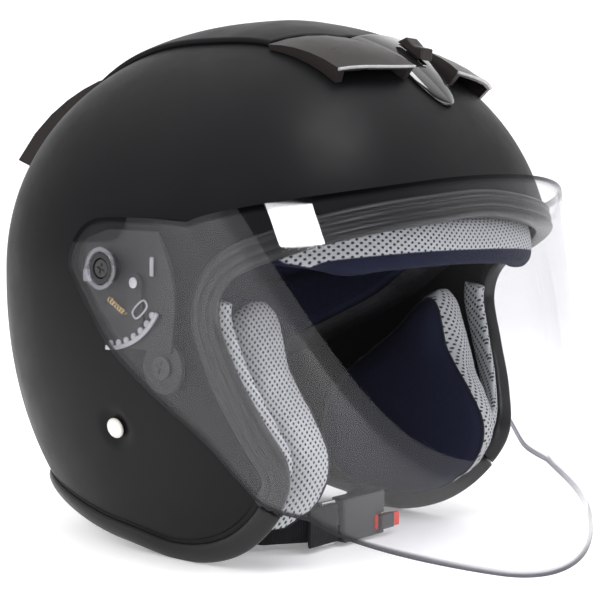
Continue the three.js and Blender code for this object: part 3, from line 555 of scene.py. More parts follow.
def beaded_foam(name):
    s = Shade(name)
    beads = s.add("TexVoronoi", {"Scale": 330, "Vector": s.place}).outputs["Distance"]
    s.set({"Base Color": s.ramp(beads, [(0.0, (0.035, 0.036, 0.04)), (0.8, (0.016, 0.017, 0.019))])})
    s.roughness(s.noise(80, 3), [(0.3, 0.72), (0.7, 0.88)])
    s.bump((beads, 0.5, 0.0004))
    return s.material


shell_paint = moulded(
    "matte_shell", (0.0040, 0.0042, 0.0046), (0.0062, 0.0064, 0.0070), 0.42, 1100, 0.10, 0.05, 0.09,
)
satin = moulded("satin_black", (0.010, 0.010, 0.0105), (0.017, 0.0165, 0.017), 0.34, 1300, 0.10, 0.06, 0.16)
vent_satin = moulded(
    "vent_satin", (0.014, 0.0115, 0.011), (0.022, 0.0185, 0.018), 0.31, 1500, 0.06, 0.05, 0.13,
)
gloss = moulded(
    "polished_black", (0.006, 0.0055, 0.0055), (0.011, 0.010, 0.010), 0.11, 300, 0.02, 0.03, 0.6, 0.6,
)
rubber = moulded("edge_rubber", (0.010, 0.0105, 0.011), (0.018, 0.0185, 0.019), 0.33, 1700, 0.05, 0.04, 0.28)
screw_black = moulded("screw_black", (0.012, 0.012, 0.013), (0.03, 0.03, 0.032), 0.3, 800, 0.1, 0.06, 0.4)
plate_black = moulded("plate_black", (0.012, 0.012, 0.014), (0.021, 0.021, 0.024), 0.38, 800, 0.15, 0.07, 0.3)
buckle_black = moulded(
    "buckle_black", (0.014, 0.014, 0.015), (0.024, 0.024, 0.026), 0.36, 900, 0.12, 0.06, 0.35,
)
red_plastic = moulded("tab_red", (0.50, 0.012, 0.008), (0.66, 0.03, 0.02), 0.35, 900, 0.12, 0.05)
lip_grey = moulded("lip_grey", (0.22, 0.22, 0.225), (0.34, 0.34, 0.345), 0.28, 700, 0.08, 0.05)
steel = metal("satin_steel", (0.52, 0.53, 0.54), (0.68, 0.69, 0.70), 0.3)
white_rivet = moulded("rivet_silver", (0.56, 0.53, 0.50), (0.66, 0.64, 0.61), 0.34, 500, 0.08, 0.06, 0.5)
brass = metal("spring_brass", (0.55, 0.40, 0.18), (0.78, 0.60, 0.30), 0.25)
shield_clear = clear_plastic("shield_clear", (0.93, 0.93, 0.94), 0.02, 4.5, (0.20, 0.20, 0.22))
small_clear = clear_plastic("small_clear", (0.86, 0.87, 0.90), 0.07, 2.2)
# Clear plastic drawn opaque: its pale grey is painted light, for the light that the clear teeth, loop and
# clips catch.
bright_clear = moulded("bright_clear", (0.17, 0.17, 0.18), (0.36, 0.36, 0.38), 0.16, 500, 0.1, 0.05, 0.6, 0.5)
pad_fabric = spacer_mesh("spacer_mesh")
navy_fabric = brushed_fabric("navy_brushed", (0.008, 0.010, 0.022), (0.020, 0.024, 0.050))
piping = brushed_fabric("seam_binding", (0.012, 0.013, 0.018), (0.030, 0.031, 0.038))
webbing = woven("black_webbing", (0.006, 0.006, 0.007), (0.022, 0.022, 0.025))
foam = beaded_foam("beaded_foam")

# ---- Shell -----------------------------------------------------------------------------------

COLUMNS = 360
RIVET_DIRECTION = (96.2, -32)
RECESS_RADIUS, RECESS_SLOPE, RECESS_DEPTH = 9.6, 2.2, 1.5
GROOVE_BACK, GROOVE_WIDTH, GROOVE_DEPTH = 10.5, 0.45, 0.9
SHELL_EDGE_BACK = 2.4
shares = np.arange(COLUMNS) / COLUMNS
rivet_foot = shell_point(direction(*RIVET_DIRECTION))
rivet_normal = shell_normal(rivet_foot)


def bottom_weight(share):
    """1 along the bottom stretch of the rim, and 0 along the face opening."""
    s = np.mod(share, 1.0)
    inside = np.minimum(s - jaw_tip, 1 - jaw_tip - s)
    return np.clip(inside / 0.01, 0, 1)


# How far back from the rim each row lies near the edge, closer together at the groove.
near_edge = [13.5, 12.2, 11.5, 11.1, 10.7, 10.3, 9.9, 9.2, 8, 6, 4, SHELL_EDGE_BACK]
edge_rows = np.array([rim_point(shares, np.full(COLUMNS, back)) for back in near_edge])
field = slerp_rows(edge_rows[0], np.linspace(0.008, 0.992, 112))
outer_rows = np.concatenate([shell_point(field), edge_rows])
FAR_BACK = 50.0
backs = np.concatenate([np.full(len(field), FAR_BACK), near_edge])


def sink(points, amount):
    return points - shell_normal(points) * amount[..., None]


groove = GROOVE_DEPTH * np.exp(-((backs - GROOVE_BACK) / GROOVE_WIDTH) ** 2)
outer_rows = sink(outer_rows, groove[:, None] * bottom_weight(shares)[None, :])
for foot in (rivet_foot, rivet_foot * MIRROR):
    from_foot = np.linalg.norm(outer_rows - foot, axis=-1)
    outer_rows = sink(outer_rows, RECESS_DEPTH * np.clip((RECESS_RADIUS - from_foot) / RECESS_SLOPE, 0, 1))
inner_edge = rim_point(shares, np.full(COLUMNS, SHELL_EDGE_BACK), SHELL_THICKNESS)
inner_rows = shell_point(slerp_rows(inner_edge, np.linspace(0.02, 1, 48)), SHELL_THICKNESS)
tips = shell_point(POLE), shell_point(POLE, SHELL_THICKNESS)
shell = new_mesh("shell_skin", *bowl(outer_rows, inner_rows, *tips))
finish_piece(shell, shell_paint, "helmet", ["outer_shell"])

# The raised band over the crown, with a rounded step at its sides.
BAND_HEIGHT, BAND_ROUNDING, BAND_SUNK = 3.0, 1.3, 1.0
BAND_FRONT, BAND_REAR = -57, 88.0
BAND_HALF_FRONT, BAND_HALF_REAR = 61, 53
# Its front edge runs straight over the vent housing, and falls back beside it.
HOUSING_HALF, BAND_FALL_WIDTH, BAND_FALL = 31, 30, 20


def band_plan(across, back):
    half = BAND_HALF_FRONT + (BAND_HALF_REAR - BAND_HALF_FRONT) * back
    x = half * (2 * across - 1)
    front = BAND_FRONT + BAND_FALL * np.clip((np.abs(x) - HOUSING_HALF) / BAND_FALL_WIDTH, 0, 1)
    return x, front + (BAND_REAR - front) * back, half


def eased(count):
    """Shares from 0 to 1, close together at both ends for a rounded edge."""
    ease = np.array([0, 0.001, 0.003, 0.006, 0.010, 0.016, 0.024])
    return np.concatenate([ease, np.linspace(0.04, 0.96, count), 1 - ease[::-1]])


A, B = np.meshgrid(eased(70), eased(60))
bx, by, half = band_plan(A, B)
from_side = np.minimum(A, 1 - A) * 2 * half
from_end = np.minimum(B, 1 - B) * 130
reach = np.clip(np.minimum(from_side, from_end) / BAND_ROUNDING, 0, 1)
step = BAND_ROUNDING * (np.sqrt(1 - (1 - reach) ** 2) - 1)
band_top = crown_point(bx, by, BAND_HEIGHT + step)
band_low = crown_point(bx, by, np.full(A.shape, -BAND_SUNK))
band = new_mesh("crown_band", *slab(band_top, band_low))
finish_piece(band, shell_paint, "helmet")

# ---- Edge trims ------------------------------------------------------------------------------


def trim_section(front, back_to, outer, ribs, rib_depth, leg_room, leg, leg_to):
    """A rubber edge section: ribbed outside, wrapped round the rim, with a short leg inside."""
    backs = np.linspace(-front, back_to, 46)
    phase = (backs + front) / (back_to + front) * ribs
    lobes = np.abs(np.sin(math.pi * phase)) ** 0.7
    ends = np.sqrt(np.clip(1 - np.abs(2 * phase / ribs - 1) ** 6, 0, 1))
    top = -(outer - rib_depth + rib_depth * lobes) * ends
    start = SHELL_THICKNESS + leg_room
    section = [(back, min(t, -0.05)) for back, t in zip(backs, top)]
    section += [(back_to - 0.3, -0.02), (0.6, -0.02), (0.0, 0.4), (0.0, start - 0.3), (0.3, start)]
    section += [(leg_to, start), (leg_to + 0.3, start + leg / 2), (leg_to, start + leg)]
    section += [(1 - front, start + leg), (0.3 - front, start + leg - 0.4), (-front - 0.05, 3.4)]
    return np.array(section)


def rim_sweep(start, end, steps, section):
    at = np.linspace(start, end, steps + 1)
    S, K = np.meshgrid(at, np.arange(len(section)), indexing="ij")
    return rim_point(S.ravel(), section[K.ravel(), 0], section[K.ravel(), 1]).reshape(*S.shape, 3)


def floor_land(points):
    """Keeps what meets the floor flat on it."""
    points = points.copy()
    points[..., 2] = np.maximum(points[..., 2], -CENTRE[2])
    return points


window_section = trim_section(2.0, 11.5, 2.5, 3, 1.0, 1.3, 0.9, 4.0)
window = rim_sweep(-jaw_tip + BUTT, jaw_tip - BUTT, 300, window_section)
trim = new_mesh("window_beading", *skin(window))
finish_piece(trim, rubber, "helmet", ["window_trim"])
lower_section = trim_section(2.9, 8.5, 2.8, 1, 1.0, 1.9, 1.9, 6.4)
lower = rim_sweep(jaw_tip + BUTT, 1 - jaw_tip - BUTT, 300, lower_section)
trim = new_mesh("bottom_beading", *skin(floor_land(lower)))
finish_piece(trim, satin, "helmet", ["bottom_trim"])

# ---- Vents -----------------------------------------------------------------------------------

for side in ("right", "left"):
    dressed(f"vent_scoop_{side}", vent_satin, 0.7, 3)
    dressed(f"rear_vent_{side}", vent_satin, 1.1, 3)
dressed("vent_slider", vent_satin, 0.9, 3)


HOUSING_REAR_Y, HOUSING_FRONT_Y = -58.5, -100.5
HOUSING_REAR_HALF, HOUSING_NOSE_HALF, NOSE_FROM = 28, 15, 0.6


def housing_half(forward):
    """Half the width of the teardrop at each share of the way forward."""
    along = np.clip((forward - NOSE_FROM) / (1 - NOSE_FROM), 0, 1)
    nose = np.maximum(0.6, HOUSING_NOSE_HALF * np.sqrt(np.clip(1 - along**2, 0, 1)))
    flank = HOUSING_REAR_HALF + (HOUSING_NOSE_HALF - HOUSING_REAR_HALF) * forward / NOSE_FROM
    return np.where(forward < NOSE_FROM, flank, nose)


to_tip = 0.9 + 0.1 * np.sin(np.linspace(0.06, math.pi / 2, 18))
forward = np.concatenate([[0, 0.004, 0.012], np.linspace(0.025, 0.9, 40), to_tip])
across = 0.5 - 0.5 * np.cos(np.linspace(0, math.pi, 41))
A, F = np.meshgrid(across, forward)
hx = housing_half(F) * (1 - 2 * A)
hy = HOUSING_REAR_Y + (HOUSING_FRONT_Y - HOUSING_REAR_Y) * F
dome = np.sqrt(np.clip(1 - (2 * A - 1) ** 2 * 0.96, 0, 1))
start = np.sqrt(np.clip(F / 0.02, 0, 1))
height = (0.9 + 5.0 * dome) * (1 - 0.5 * F**3) * (0.6 + 0.4 * start)
top, foot = crown_point(hx, hy, height), crown_point(hx, hy, np.full(A.shape, 0.1))
housing = new_mesh("vent_centre", *slab(top, foot))


def carved(obj, tools):
    """Cuts tools out of a piece, and removes them."""
    for tool in tools:
        m = obj.modifiers.new("cut", "BOOLEAN")
        m.operation, m.object, m.solver = "DIFFERENCE", tool, "EXACT"
    apply_all(obj)
    for tool in tools:
        bpy.data.objects.remove(tool)
    return obj


# The slot that the knob's stem slides in.
SLOT_SIZE, SLOT_Y = (4.6, 18.6, 20), -76.0
slot_foot = crown_point(0.0, SLOT_Y, np.array(0.0))
slot_up = shell_normal(slot_foot)
slot_axes = [X_AXIS, np.cross(X_AXIS, slot_up), slot_up]
carved(housing, [new_mesh("cutter", *box(SLOT_SIZE, slot_foot, slot_axes), smooth=False)])
finish_piece(housing, gloss, "helmet", ["vent_housing"])

# The grey lip along the front edge of each intake cover: its outer and inner end, in plan.
LIP_OUTER, LIP_INNER, LIP_BOW = (64, -79), (19, -88), 3
LIP_HEIGHT, LIP_WIDTH, LIP_THICKNESS = 8.3, 1.1, 1.7
across = np.linspace(0.0, 1.0, 50)
lip_x = -(LIP_OUTER[0] + (LIP_INNER[0] - LIP_OUTER[0]) * across)
lip_y = LIP_OUTER[1] + (LIP_INNER[1] - LIP_OUTER[1]) * across - LIP_BOW * np.sin(math.pi * across)
lip_line = crown_point(lip_x, lip_y, np.full(len(across), LIP_HEIGHT))
lip_up = shell_normal(lip_line)
lip_out = unit(np.cross(lip_up, np.gradient(lip_line, axis=0)))
lip = new_mesh(
    "scoop_lip_right", *skin(tube(lip_line, lip_up, lip_out, LIP_THICKNESS / 2, LIP_WIDTH / 2, 12)),
)
finish_pair(lip, lip_grey, "helmet")

# ---- Lining ----------------------------------------------------------------------------------

FOAM_OUTER, FOAM_INNER = 6.2, 35.2
LINER_OUTER, LINER_INNER = 37.4, 44.9
CHANNEL_ANGLE, CHANNEL_DEPTH, CHANNEL_WIDTH = 22, 2.4, 0.16


def fine_bowl(name, outer, inner, columns, rows, shape=None):
    field = slerp_rows(foam_rim.at(np.arange(columns) / columns), np.linspace(1 / rows, 1, rows))
    outside = shell_point(field, outer)
    inside = shell_point(field, inner + (shape(field) if shape else 0))
    return new_mesh(name, *bowl(outside, inside, shell_point(POLE, outer), shell_point(POLE, inner)))


core = fine_bowl("impact_core", FOAM_OUTER, FOAM_INNER, 160, 40)
finish_piece(core, foam, "helmet", ["eps_liner"])


def quilt(field):
    """Sewn channels that run front to back over the crown."""
    side = np.degrees(np.arctan2(field[..., 0], field[..., 2] + 0.4))
    channel = np.abs(((side / CHANNEL_ANGLE) % 1.0) - 0.5) * 2
    return -CHANNEL_DEPTH * np.exp(-(((1 - channel) / CHANNEL_WIDTH) ** 2))


comfort = fine_bowl("comfort_liner", LINER_OUTER, LINER_INNER, 220, 70, quilt)
finish_piece(comfort, navy_fabric, "helmet", ["crown_liner"])

# ---- Padded pieces ---------------------------------------------------------------------------


CLOTH_FRAMES = 20


def blown(obj, cap_mm, voxel=0.005):
    """Swells a pad as stuffed cloth, without letting any point move further than cap_mm."""
    remesh = obj.modifiers.new("remesh", "REMESH")
    remesh.mode, remesh.voxel_size = "VOXEL", voxel
    apply_all(obj)
    rest = np.array([v.co for v in obj.data.vertices])
    cloth = obj.modifiers.new("cloth", "CLOTH")
    cloth.settings.use_pressure = True
    cloth.settings.uniform_pressure_force = 4.0
    cloth.settings.quality = 5
    cloth.settings.effector_weights.gravity = 0
    cloth.point_cache.frame_start, cloth.point_cache.frame_end = 1, CLOTH_FRAMES
    for step in range(CLOTH_FRAMES):
        scene.frame_set(step + 1)
    apply_all(obj)
    scene.frame_set(1)
    moved = np.array([v.co for v in obj.data.vertices]) - rest
    size = np.linalg.norm(moved, axis=1, keepdims=True)
    kept = rest + moved * np.minimum(1, cap_mm / 1000 / np.maximum(size, 1e-9))
    obj.data.vertices.foreach_set("co", kept.ravel())
    smooth = obj.modifiers.new("even", "SMOOTH")
    smooth.factor, smooth.iterations = 0.5, 3
    subdivide = obj.modifiers.new("fine", "SUBSURF")
    subdivide.levels = subdivide.render_levels = 1
    apply_all(obj)
    obj.data.polygons.foreach_set("use_smooth", [True] * len(obj.data.polygons))
    return obj


CHEEK = [
    (-49, -6), (-56, -19), (-62, -34), (-70, -51), (-80, -68), (-86.5, -84), (-82, -101),
    (-69, -115), (-50, -125), (-25, -129.5), (2, -128), (22, -119), (31, -103), (29, -78),
    (12, -56), (-10, -39), (-27, -24), (-40, -10),
]
# The attribute "plain" is how many millimetres a point lies inside the navy panel.
NO_NAVY = -9.0
CHEEK_INNER, CHEEK_SEAM = 60.0, 69.0
CHEEK_ALLOWANCE, CHEEK_SHRINK = 0.6, 0.975


def cheek_outer(z):
    return 101.7 + 0.115 * z - 0.085 * np.maximum(0, -45 - z)


def dome_rows(rows):
    """Shares of the way out, and side heights, of rings over a pad from one tip to the other."""
    out = [math.sin(i / rows * math.pi / 2) for i in range(1, rows)]
    return [(0.04, -1)] + [(s, -1) for s in out] + [(1, 0)] + [(s, 1) for s in out[::-1]] + [(0.04, 1)]


def cheek_rings(columns=72, rows=12):
    """A cheek pad before it is stuffed: its side outline, swollen between its two sides."""
    edge = Loop([(y, z, 0) for y, z in CHEEK]).at(np.arange(columns) / columns)[:, :2]
    middle = edge.mean(0)
    rings = []
    for share, side in dome_rows(rows):
        at = middle + (edge - middle) * share * CHEEK_SHRINK
        outer, inner = cheek_outer(at[:, 1]) - CHEEK_ALLOWANCE, CHEEK_INNER + CHEEK_ALLOWANCE
        x = -((outer + inner) / 2 + side * math.sqrt(1 - share**6) * (outer - inner) / 2)
        rings.append(np.stack([x, at[:, 0], at[:, 1]], -1))
    return np.array(rings)


def set_weave(obj, across, along):
    set_attribute(obj, "weave", np.stack([across, along, 0 * across], -1))


def side_weave(obj):
    """Weave coordinates in millimetres, from the side view and the depth."""
    x, y, z = coordinates(obj).T
    set_weave(obj, z + 0.35 * y, x - 0.8 * y)


def cut_line(obj, x):
    """The closed line, in order, where the plane at x cuts a piece."""
    bm = bmesh.new()
    bm.from_mesh(obj.data)
    geometry = bm.verts[:] + bm.edges[:] + bm.faces[:]
    cut = bmesh.ops.bisect_plane(bm, geom=geometry, plane_co=(x / 1000, 0, 0), plane_no=(1, 0, 0))
    linked = {}
    for edge in cut["geom_cut"]:
        if isinstance(edge, bmesh.types.BMEdge):
            for v in edge.verts:
                linked.setdefault(v, []).append(edge.other_vert(v))
    start = max(linked, key=lambda v: v.co.z)
    line, last, here = [start], None, start
    while True:
        onward = [v for v in linked[here] if v is not last]
        if not onward or onward[0] is start or len(line) > len(linked):
            break
        last, here = here, onward[0]
        line.append(here)
    points = np.array([v.co for v in line]) * 1000 - CENTRE
    bm.free()
    return points


def seam_on(obj, x, radius=0.75):
    """A round binding along the line where the plane at x cuts a pad."""
    loop = Loop(cut_line(obj, x)[::3])
    shares = np.arange(220) / 220
    out = unit(np.cross(loop.tangent(shares), X_AXIS))
    return skin(tube(loop.at(shares), out, X_AXIS, radius, radius), closed_rings=True)


cheek = new_mesh("cheek_cushion_right", *skin(cheek_rings()))
blown(cheek, 3.0)
set_attribute(cheek, "plain", CHEEK_SEAM - np.abs(coordinates(cheek)[:, 0]))
side_weave(cheek)
seam = new_mesh("cheek_seam_right", *seam_on(cheek, -CHEEK_SEAM))
finish_pair(seam, piping, "helmet")
for cushion, node in ((cheek, "cheek_pad_right"), (mirror_copy(cheek), "cheek_pad_left")):
    finish_piece(cushion, pad_fabric, "helmet", [node])


def swept_pad(stations, half_height, half_depth, sides=36):
    """Rings of a long pad along the shell, at stations of azimuth, elevation, depth and size."""
    up = np.sign(np.sin(turns(sides))) * np.abs(np.sin(turns(sides))) ** 0.6
    out = np.sign(np.cos(turns(sides))) * np.abs(np.cos(turns(sides))) ** 0.8
    rings = []
    for azimuth, elevation, depth, size in stations:
        towards = direction(np.full(sides, float(azimuth)), elevation + up * half_height * size)
        rings.append(shell_point(towards, depth + out * half_depth * size))
    return np.array(rings)


BROW_REACH, BROW_ELEVATION, BROW_FALL, BROW_DEPTH = 60, 10, 0.0014, 16.8
BROW_SEAM_DEPTH, BROW_SEAM_ELEVATION = 15.0, 7.4
brow_stations = []
for share in np.linspace(-1, 1, 90):
    azimuth = BROW_REACH * share
    size = min(1, 0.14 + 2.4 * (1 - abs(share)))
    brow_stations.append((azimuth, BROW_ELEVATION - BROW_FALL * azimuth**2, BROW_DEPTH, size))
brow = new_mesh("brow_cushion", *skin(swept_pad(brow_stations, 6.6, 8.0)))
blown(brow, 1.5, voxel=0.004)
pts = coordinates(brow)
azimuth = np.degrees(np.arctan2(-pts[:, 0], -pts[:, 1]))
plan = np.hypot(pts[:, 0], pts[:, 1])
deep = np.linalg.norm(shell_point(unit(pts)), axis=1) - np.linalg.norm(pts, axis=1)
# The seam falls away faster towards the band's tapered ends.
seam_at = BROW_SEAM_ELEVATION - BROW_FALL * azimuth**2 - 9.0 * np.clip((np.abs(azimuth) - 42) / 14, 0, 1) ** 2
below_seam = seam_at - np.degrees(np.arctan2(pts[:, 2], plan))
set_attribute(brow, "plain", np.maximum(deep - BROW_SEAM_DEPTH, 2 * below_seam))
set_weave(brow, azimuth * 2.0, pts[:, 2] - 0.4 * plan)
finish_piece(brow, pad_fabric, "helmet", ["brow_pad"])

NECK_REACH, NECK_ELEVATION, NECK_FALL, NECK_DEPTH = 58, -38.6, 2.4, 20
neck_stations = []
for share in np.linspace(-1, 1, 90):
    size = min(1, 0.35 + 4 * (1 - abs(share)))
    elevation = NECK_ELEVATION - NECK_FALL * share**4
    neck_stations.append((180 + NECK_REACH * share, elevation, NECK_DEPTH, size))
neck = new_mesh("neck_cushion", *skin(swept_pad(neck_stations, 4.9, 10.4)))
blown(neck, 2.0)
pts = coordinates(neck)
azimuth = np.degrees(np.arctan2(-pts[:, 0], pts[:, 1]))
set_attribute(neck, "plain", np.full(len(pts), NO_NAVY))
set_weave(neck, azimuth * 2.2, pts[:, 2] - 0.5 * np.hypot(pts[:, 0], pts[:, 1]))
finish_piece(neck, pad_fabric, "helmet", ["neck_roll"])

# The thin mesh strip that joins the window beading to each cheek pad.
STRIP_FROM, STRIP_OUTER, STRIP_ROUND = (65.8, -4), SHELL_THICKNESS + 2.8, 40
STRIP_LIP, STRIP_LIP_END = 6.5, 3
STRIP_DEPTH, STRIP_DEPTH_END = 13, 10.9
strip_from = rim.near(shell_point(direction(*STRIP_FROM)))
rings = []
for share in np.linspace(0, 1, 91):
    lip = STRIP_LIP + (STRIP_LIP_END - STRIP_LIP) * share
    deepest = STRIP_DEPTH + (STRIP_DEPTH_END - STRIP_DEPTH) * share
    corners = [
        (-0.8, STRIP_OUTER, 0), (0.5 - lip, STRIP_OUTER + 2.2, 0), (-lip, STRIP_OUTER + 3.2, 0),
        (-lip - 0.2, deepest - 2, 0), (-lip, deepest - 0.7, 0), (0.9 - lip, deepest, 0),
        (5.6, deepest, 0), (7, deepest - 1, 0), (8, deepest - 3, 0), (7.8, STRIP_OUTER, 0),
    ]
    back, depth = Loop(corners).at(np.arange(STRIP_ROUND) / STRIP_ROUND)[:, :2].T
    at = np.full(STRIP_ROUND, strip_from + (jaw_tip - BUTT - strip_from) * share)
    rings.append(rim_point(at, back, depth))
strip = new_mesh("cheek_strip_right", *skin(rings))
set_attribute(strip, "plain", np.full(len(strip.data.vertices), NO_NAVY))
side_weave(strip)
for piece, node in ((strip, "cheek_skirt_right"), (mirror_copy(strip), "cheek_skirt_left")):
    finish_piece(piece, pad_fabric, "helmet", [node])

# ---- Face shield -----------------------------------------------------------------------------

SHIELD_END_Y = PIVOT[0] + 23.4
UPPER = [(28.8, 6), (27.8, 12), (24.5, 19), (19, 24.6), (12, 28), (2, 29.3), (-25, 29.2), (-54, 27.6)]
LOWER = [
    (28.8, 5), (25.8, 0.5), (17, -12), (0, -32.5), (-25, -51.5), (-53, -71.5), (-73, -91.5),
    (-83, -100.3), (-101, -104.5),
]


def crease_y(z):
    return -62 + 0.37 * z


def crease_x(z):
    return 129.5 + 0.22 * z


def front_y(z):
    return -152 + 0.19 * z + 0.0005 * z * z


def levelling(forward):
    late = np.maximum(0, forward - 0.7)
    return (forward - late**2 / 0.6) / 0.85


def shield_point(along, z):
    """A point on the shield's outside: along 0..1 is the side panel, 1..2 the bowed front."""
    side_y = SHIELD_END_Y + (crease_y(z) - SHIELD_END_Y) * np.minimum(along, 1)
    share = np.clip(side_y / crease_y(z), 0, 1)
    side_x = SHIELD_SIDE_X + (crease_x(z) - SHIELD_SIDE_X) * share**2
    angle = np.clip(along - 1, 0, 1) * math.pi / 2
    bow = np.sin(angle) ** 1.3
    on_front = along > 1
    x = np.where(on_front, crease_x(z) * np.cos(angle), side_x)
    y = np.where(on_front, crease_y(z) + (front_y(z) - crease_y(z)) * bow, side_y)
    return np.stack([-x, y, z + 0 * along], -1)


def outline_height(outline, along):
    """The height of a smooth side outline at each share of the side panel's length."""
    pts = np.array(outline, float)
    line = [pts[0]]
    for i in range(len(pts) - 1):
        p0, p1, p2, p3 = pts[max(i - 1, 0)], pts[i], pts[i + 1], pts[min(i + 2, len(pts) - 1)]
        for t in np.linspace(0, 1, 40)[1:]:
            line.append(0.5 * (2 * p1 + (p2 - p0) * t + (2 * p0 - 5 * p1 + 4 * p2 - p3) * t * t
                               + (3 * p1 - p0 - 3 * p2 + p3) * t**3))
    line = np.array(line)
    share = (SHIELD_END_Y + 0.1 - line[:, 0]) / (SHIELD_END_Y + 0.1 - crease_y(line[:, 1]))
    share = np.maximum.accumulate(share)
    return np.interp(along, share, line[:, 1])


SHIELD_FRONT_TOP, SHIELD_FRONT_LOW = UPPER[-1][1], LOWER[-1][1]
TOP_RISE, LOW_FALL = 24, 31.5
side_along = 1 - np.cos(np.linspace(0, math.pi / 2, 70))
front_along = 1 + np.concatenate([np.linspace(0, 0.12, 13)[1:], np.linspace(0.12, 1, 80)[1:]])
along = np.concatenate([side_along, front_along])
level = levelling(np.maximum(0, along - 1))
top = np.where(along <= 1, outline_height(UPPER, along), SHIELD_FRONT_TOP + TOP_RISE * level)
low = np.where(along <= 1, outline_height(LOWER, along), SHIELD_FRONT_LOW - LOW_FALL * level)
near_low, near_top = [0, 0.004, 0.008, 0.013], [0.987, 0.992, 0.996, 1]
rows = np.concatenate([near_low, np.linspace(0.022, 0.978, 58), near_top])
Z = low[:, None] + (top - low)[:, None] * rows[None, :]
ALONG = np.repeat(along[:, None], len(rows), axis=1)
outside = shield_point(ALONG, Z)
du = shield_point(np.minimum(ALONG + 0.004, 2), Z) - shield_point(np.maximum(ALONG - 0.004, 0), Z)
dz = shield_point(ALONG, Z + 1) - shield_point(ALONG, Z - 1)
normal = unit(np.cross(du, dz))
flip = np.sign(np.sum(normal * outside * np.array([1, 1, 0]), -1, keepdims=True))
normal = normal * np.where(flip == 0, 1, flip)
# The middle of the front faces straight ahead, so that the two halves meet.
normal[-1, :, 0] = 0
inside = outside - normal * SHIELD_THICKNESS
visor = new_mesh(
    "face_shield_clear", *slab(*(np.concatenate([g, g[:-1][::-1] * MIRROR]) for g in (outside, inside))),
)


def disc_bar(y, z, radius, x_from, x_to, sides=48):
    """A round bar along X."""
    ring_y, ring_z = y + radius * np.cos(turns(sides)), z + radius * np.sin(turns(sides))
    return skin([np.stack([np.full(sides, x), ring_y, ring_z], -1) for x in (x_from, x_to)])


PIVOT_HOLE_RADIUS = 8.0
holes = [
    new_mesh("cutter", *disc_bar(*PIVOT, PIVOT_HOLE_RADIUS, sign * 120, sign * 140), smooth=False)
    for sign in (-1, 1)
]
carved(visor, holes)
bevelled(visor, 0.55, 3, 50)
weighted(visor)
apply_all(visor)
# The attribute "edge" is 1 along the cut edge, and fades to 0 behind it.
EDGE_WIDTH, EDGE_FADE = 2.8, 0.8
border = np.concatenate([outside[:, 0], outside[:, -1], outside[0]])
border = np.concatenate([border, border * MIRROR])
from_edge = np.array([np.linalg.norm(border - p, axis=1).min() for p in coordinates(visor)])
set_attribute(visor, "edge", np.clip((EDGE_WIDTH - from_edge) / EDGE_FADE, 0, 1))
finish_piece(visor, shield_clear, "face_shield", ["visor"])

# ---- Side mechanisms -------------------------------------------------------------------------

for side in ("right", "left"):
    for node, material, edge, segments in (
        ("base_plate", plate_black, 0.35, 2), ("pivot_post", plate_black, 0.4, 3),
        ("pivot_ring", small_clear, 0.35, 3), ("pivot_screw", screw_black, 0.25, 2),
        ("lower_screw", screw_black, 0.3, 2), ("detent_lever", plate_black, 0.25, 2),
        ("lever_pin", steel, 0.2, 2), ("strap_anchor", steel, 0.25, 2),
    ):
        dressed(f"{node}_{side}", material, edge, segments)

# The coil spring behind the lever, from end to end in the side view.
PLATE_FACE_X = 126.4 + GAP
SPRING_X = -(PLATE_FACE_X + 1.65)
spring_from, spring_to = np.array([SPRING_X, 4.6, -9.0]), np.array([SPRING_X, -6.2, -15.4])
COIL_TURNS, COIL_RADIUS, WIRE_RADIUS = 7, 1.2, 0.32
spring_axis = spring_to - spring_from
spring_side = unit(np.cross(spring_axis, X_AXIS))
t = np.linspace(0, 1, COIL_TURNS * 26)
angle = 2 * math.pi * COIL_TURNS * t
path = (spring_from + t[:, None] * spring_axis + np.outer(COIL_RADIUS * np.cos(angle), X_AXIS)
        + np.outer(COIL_RADIUS * np.sin(angle), spring_side))
tangent = unit(np.gradient(path, axis=0))
first = unit(np.cross(tangent, unit(spring_axis)))
rings = tube(path, first, np.cross(tangent, first), WIRE_RADIUS, WIRE_RADIUS)
coil = new_mesh("coil_spring_right", *skin(rings))
finish_pair(coil, brass, "helmet", ["detent_spring_right"])

# The toothed arc moulded inside the shield, with seven rounded bumps towards the pivot.
ARC_RADIUS, ARC_HALF_WIDTH, ARC_HALF_DEPTH, ARC_X = 37.6, 1.1, 0.7, -128.0
BUMP_RADIUS, BUMP_COUNT, BUMP_X, BUMP_FLATNESS = 1.75, 7, -128.1, 0.62
ARC_FROM, ARC_TO = -92, -32
ARC_SIDES = 16


def at_pivot(radius, degrees):
    """The place in the side view at a radius and angle about the shield's pivot."""
    a = np.radians(degrees)
    return PIVOT[0] - radius * np.cos(a), PIVOT[1] + radius * np.sin(a)


def joined(parts):
    """Points and faces of several closed pieces as one mesh."""
    points, faces, count = [], [], 0
    for part_points, part_faces in parts:
        points.append(part_points)
        faces += [tuple(i + count for i in face) for face in part_faces]
        count += len(part_points)
    return np.concatenate(points), faces


round_y, round_z = np.cos(turns(ARC_SIDES)), np.sin(turns(ARC_SIDES))
square_y, square_x = (np.sign(v) * np.abs(v) ** 0.5 for v in (round_y, round_z))
rings = []
for degrees in np.linspace(ARC_FROM, ARC_TO, 60):
    y, z = at_pivot(ARC_RADIUS + square_y * ARC_HALF_WIDTH, degrees)
    rings.append(np.stack([ARC_X + square_x * ARC_HALF_DEPTH, y, z], -1))
parts = [skin(rings)]
for degrees in np.linspace(ARC_FROM + 5, ARC_TO - 4, BUMP_COUNT):
    y, z = at_pivot(ARC_RADIUS - 2.0, degrees)
    rings = []
    for tilt in np.linspace(-0.97, 0.97, 13) * math.pi / 2:
        ring = BUMP_RADIUS * math.cos(tilt)
        x = BUMP_X - BUMP_FLATNESS * BUMP_RADIUS * math.sin(tilt)
        rings.append(np.stack([np.full(ARC_SIDES, x), y + ring * round_y, z + ring * round_z], -1))
    parts.append(skin(rings))
